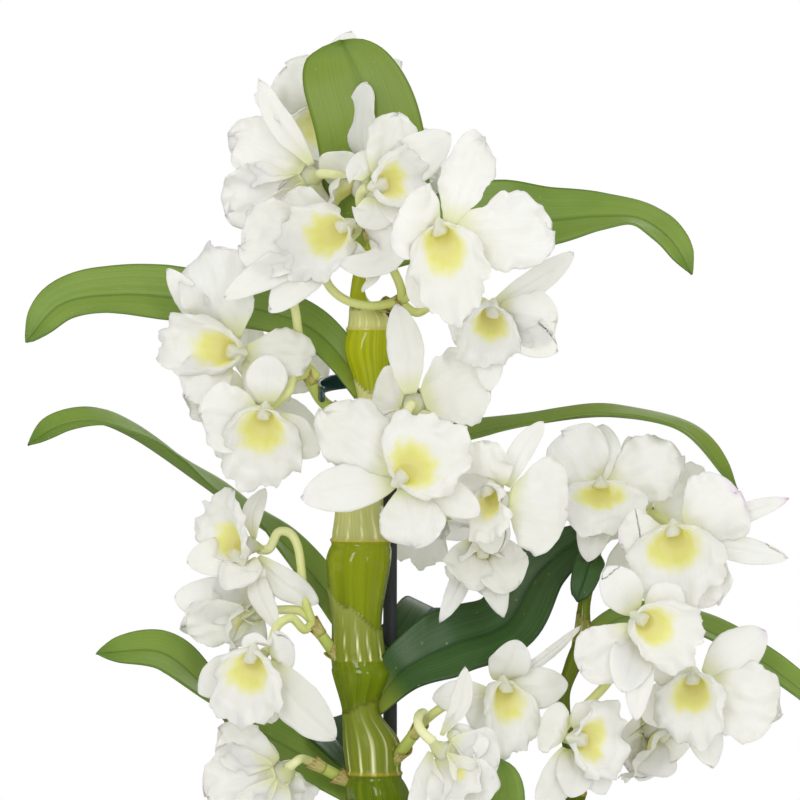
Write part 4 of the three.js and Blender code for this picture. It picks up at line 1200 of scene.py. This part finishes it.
# a papery collar round a joint of the stalk, open along one side and torn at its edge
def makeBract(bm, grain, foot, rise, wide):
    side = rise.orthogonal().normalized()
    up = rise.cross(side)

    def shape(u, v):
        angle = u * stalkCut["bractRound"]
        torn = 1 + 0.25 * math.cos(angle) + stalkCut["bractTorn"] * drift(angle * 3, foot.z)
        radius = mix(stalkCut["stem"] + 0.25, wide, v ** 1.5)
        spot = foot + rise * stalkCut["bractLong"] * v * torn
        return spot + (side * math.cos(angle) + up * math.sin(angle)) * radius

    def notes(vert, u, v):
        vert[grain] = Vector((u * 2, v, 0.35 + 0.65 * v))

    made = sheet(bm, *stalkCut["bractGrid"], shape, notes)
    faces = list(dict.fromkeys(face for vert in made for face in vert.link_faces))
    bmesh.ops.recalc_face_normals(bm, faces=faces)
    bmesh.ops.solidify(bm, geom=faces, thickness=stalkCut["bractWall"])


number = 0
for name, spray in sprays.items():
    makeStalk(name, spray)
    for order, bunch in enumerate(spray["bunches"]):
        number += 1
        makeBunch(f"{name}_{order + 1}", bunch, number)
print("sprays made")


studio = {"floorNear": -2.4, "floorFar": 2.6, "floorWide": 2.4, "floorParts": 12, "world": 0.78,
          "mirrored": 0.12, "distance": 2, "level": 0.368, "frameWide": 0.304, "sensor": 36, "farthest": 20}
lamps = {"left window": {"place": (-0.5, -2.1, 0.85), "aim": (0, 0, 0.37), "size": (0.45, 1.3), "power": 9},
         "right window": {"place": (0.75, -1.95, 0.85), "aim": (0, 0, 0.37), "size": (0.25, 1.3), "power": 5},
         "rim": {"place": (0.6, 1.5, 1.4), "aim": (0, 0, 0.35), "size": (0.9, 0.9), "power": 4}}
floorTones = {"light": rgb(244, 244, 242), "shade": rgb(240, 240, 238)}


def makeFloor():
    bm = bmesh.new()
    bmesh.ops.create_grid(bm, x_segments=studio["floorParts"], y_segments=studio["floorParts"], size=1)
    depth = studio["floorFar"] - studio["floorNear"]
    bmesh.ops.scale(bm, vec=(studio["floorWide"], depth / 2, 1), verts=bm.verts)
    bmesh.ops.translate(bm, vec=(0, (studio["floorFar"] + studio["floorNear"]) / 2, 0), verts=bm.verts)
    mesh = bpy.data.meshes.new("floor")
    bm.to_mesh(mesh)
    bm.free()
    paint = Finish("floor", {"Roughness": 0.8, "Specular IOR Level": 0.2})
    cloud = paint.noise(paint.place(), 3, 2)
    paint.set({"Base Color": paint.blend(cloud, floorTones["light"], floorTones["shade"])})
    mesh.materials.append(paint.material)
    floor = addObject("floor", mesh)
    floor.visible_glossy = False


def makeLight(name, wanted):
    lamp = bpy.data.lights.new(name, "AREA")
    lamp.shape = "RECTANGLE"
    lamp.size, lamp.size_y = wanted["size"]
    lamp.energy = wanted["power"]
    holder = addObject(name, lamp)
    holder.location = wanted["place"]
    holder.visible_camera = False
    aim = Vector(wanted["aim"]) - Vector(wanted["place"])
    holder.rotation_euler = aim.to_track_quat("-Z", "Y").to_euler()


# The sky looks plain white, lights the plant a little less, and gives shiny skins a darker studio to mirror.
def makeWorld():
    world = bpy.data.worlds.new("studio")
    world.use_nodes = True
    bpy.context.scene.world = world
    nodes, links = world.node_tree.nodes, world.node_tree.links
    nodes.clear()
    path = nodes.new("ShaderNodeLightPath")
    shown = None
    for ray, strength in (("", studio["world"]), ("Is Glossy Ray", studio["mirrored"]), ("Is Camera Ray", 1)):
        sky = nodes.new("ShaderNodeBackground")
        sky.inputs["Color"].default_value = (1, 1, 1, 1)
        sky.inputs["Strength"].default_value = strength
        if ray:
            both = nodes.new("ShaderNodeMixShader")
            for socket, source in enumerate((path.outputs[ray], shown, sky.outputs[0])):
                links.new(source, both.inputs[socket])
            shown = both.outputs[0]
        else:
            shown = sky.outputs[0]
    links.new(shown, nodes.new("ShaderNodeOutputWorld").inputs[0])


def makeCamera():
    camera = addObject("camera", bpy.data.cameras.new("camera"))
    camera.location = (0, -studio["distance"], studio["level"])
    camera.rotation_euler = (math.pi / 2, 0, 0)
    camera.data.sensor_width = studio["sensor"]
    camera.data.lens = studio["sensor"] * studio["distance"] / studio["frameWide"]
    camera.data.clip_end = studio["farthest"]
    bpy.context.scene.camera = camera


makeFloor()
makeWorld()
for name, wanted in lamps.items():
    makeLight(name, wanted)
makeCamera()
bpy.context.scene.view_settings.view_transform = "Standard"
print("studio made")
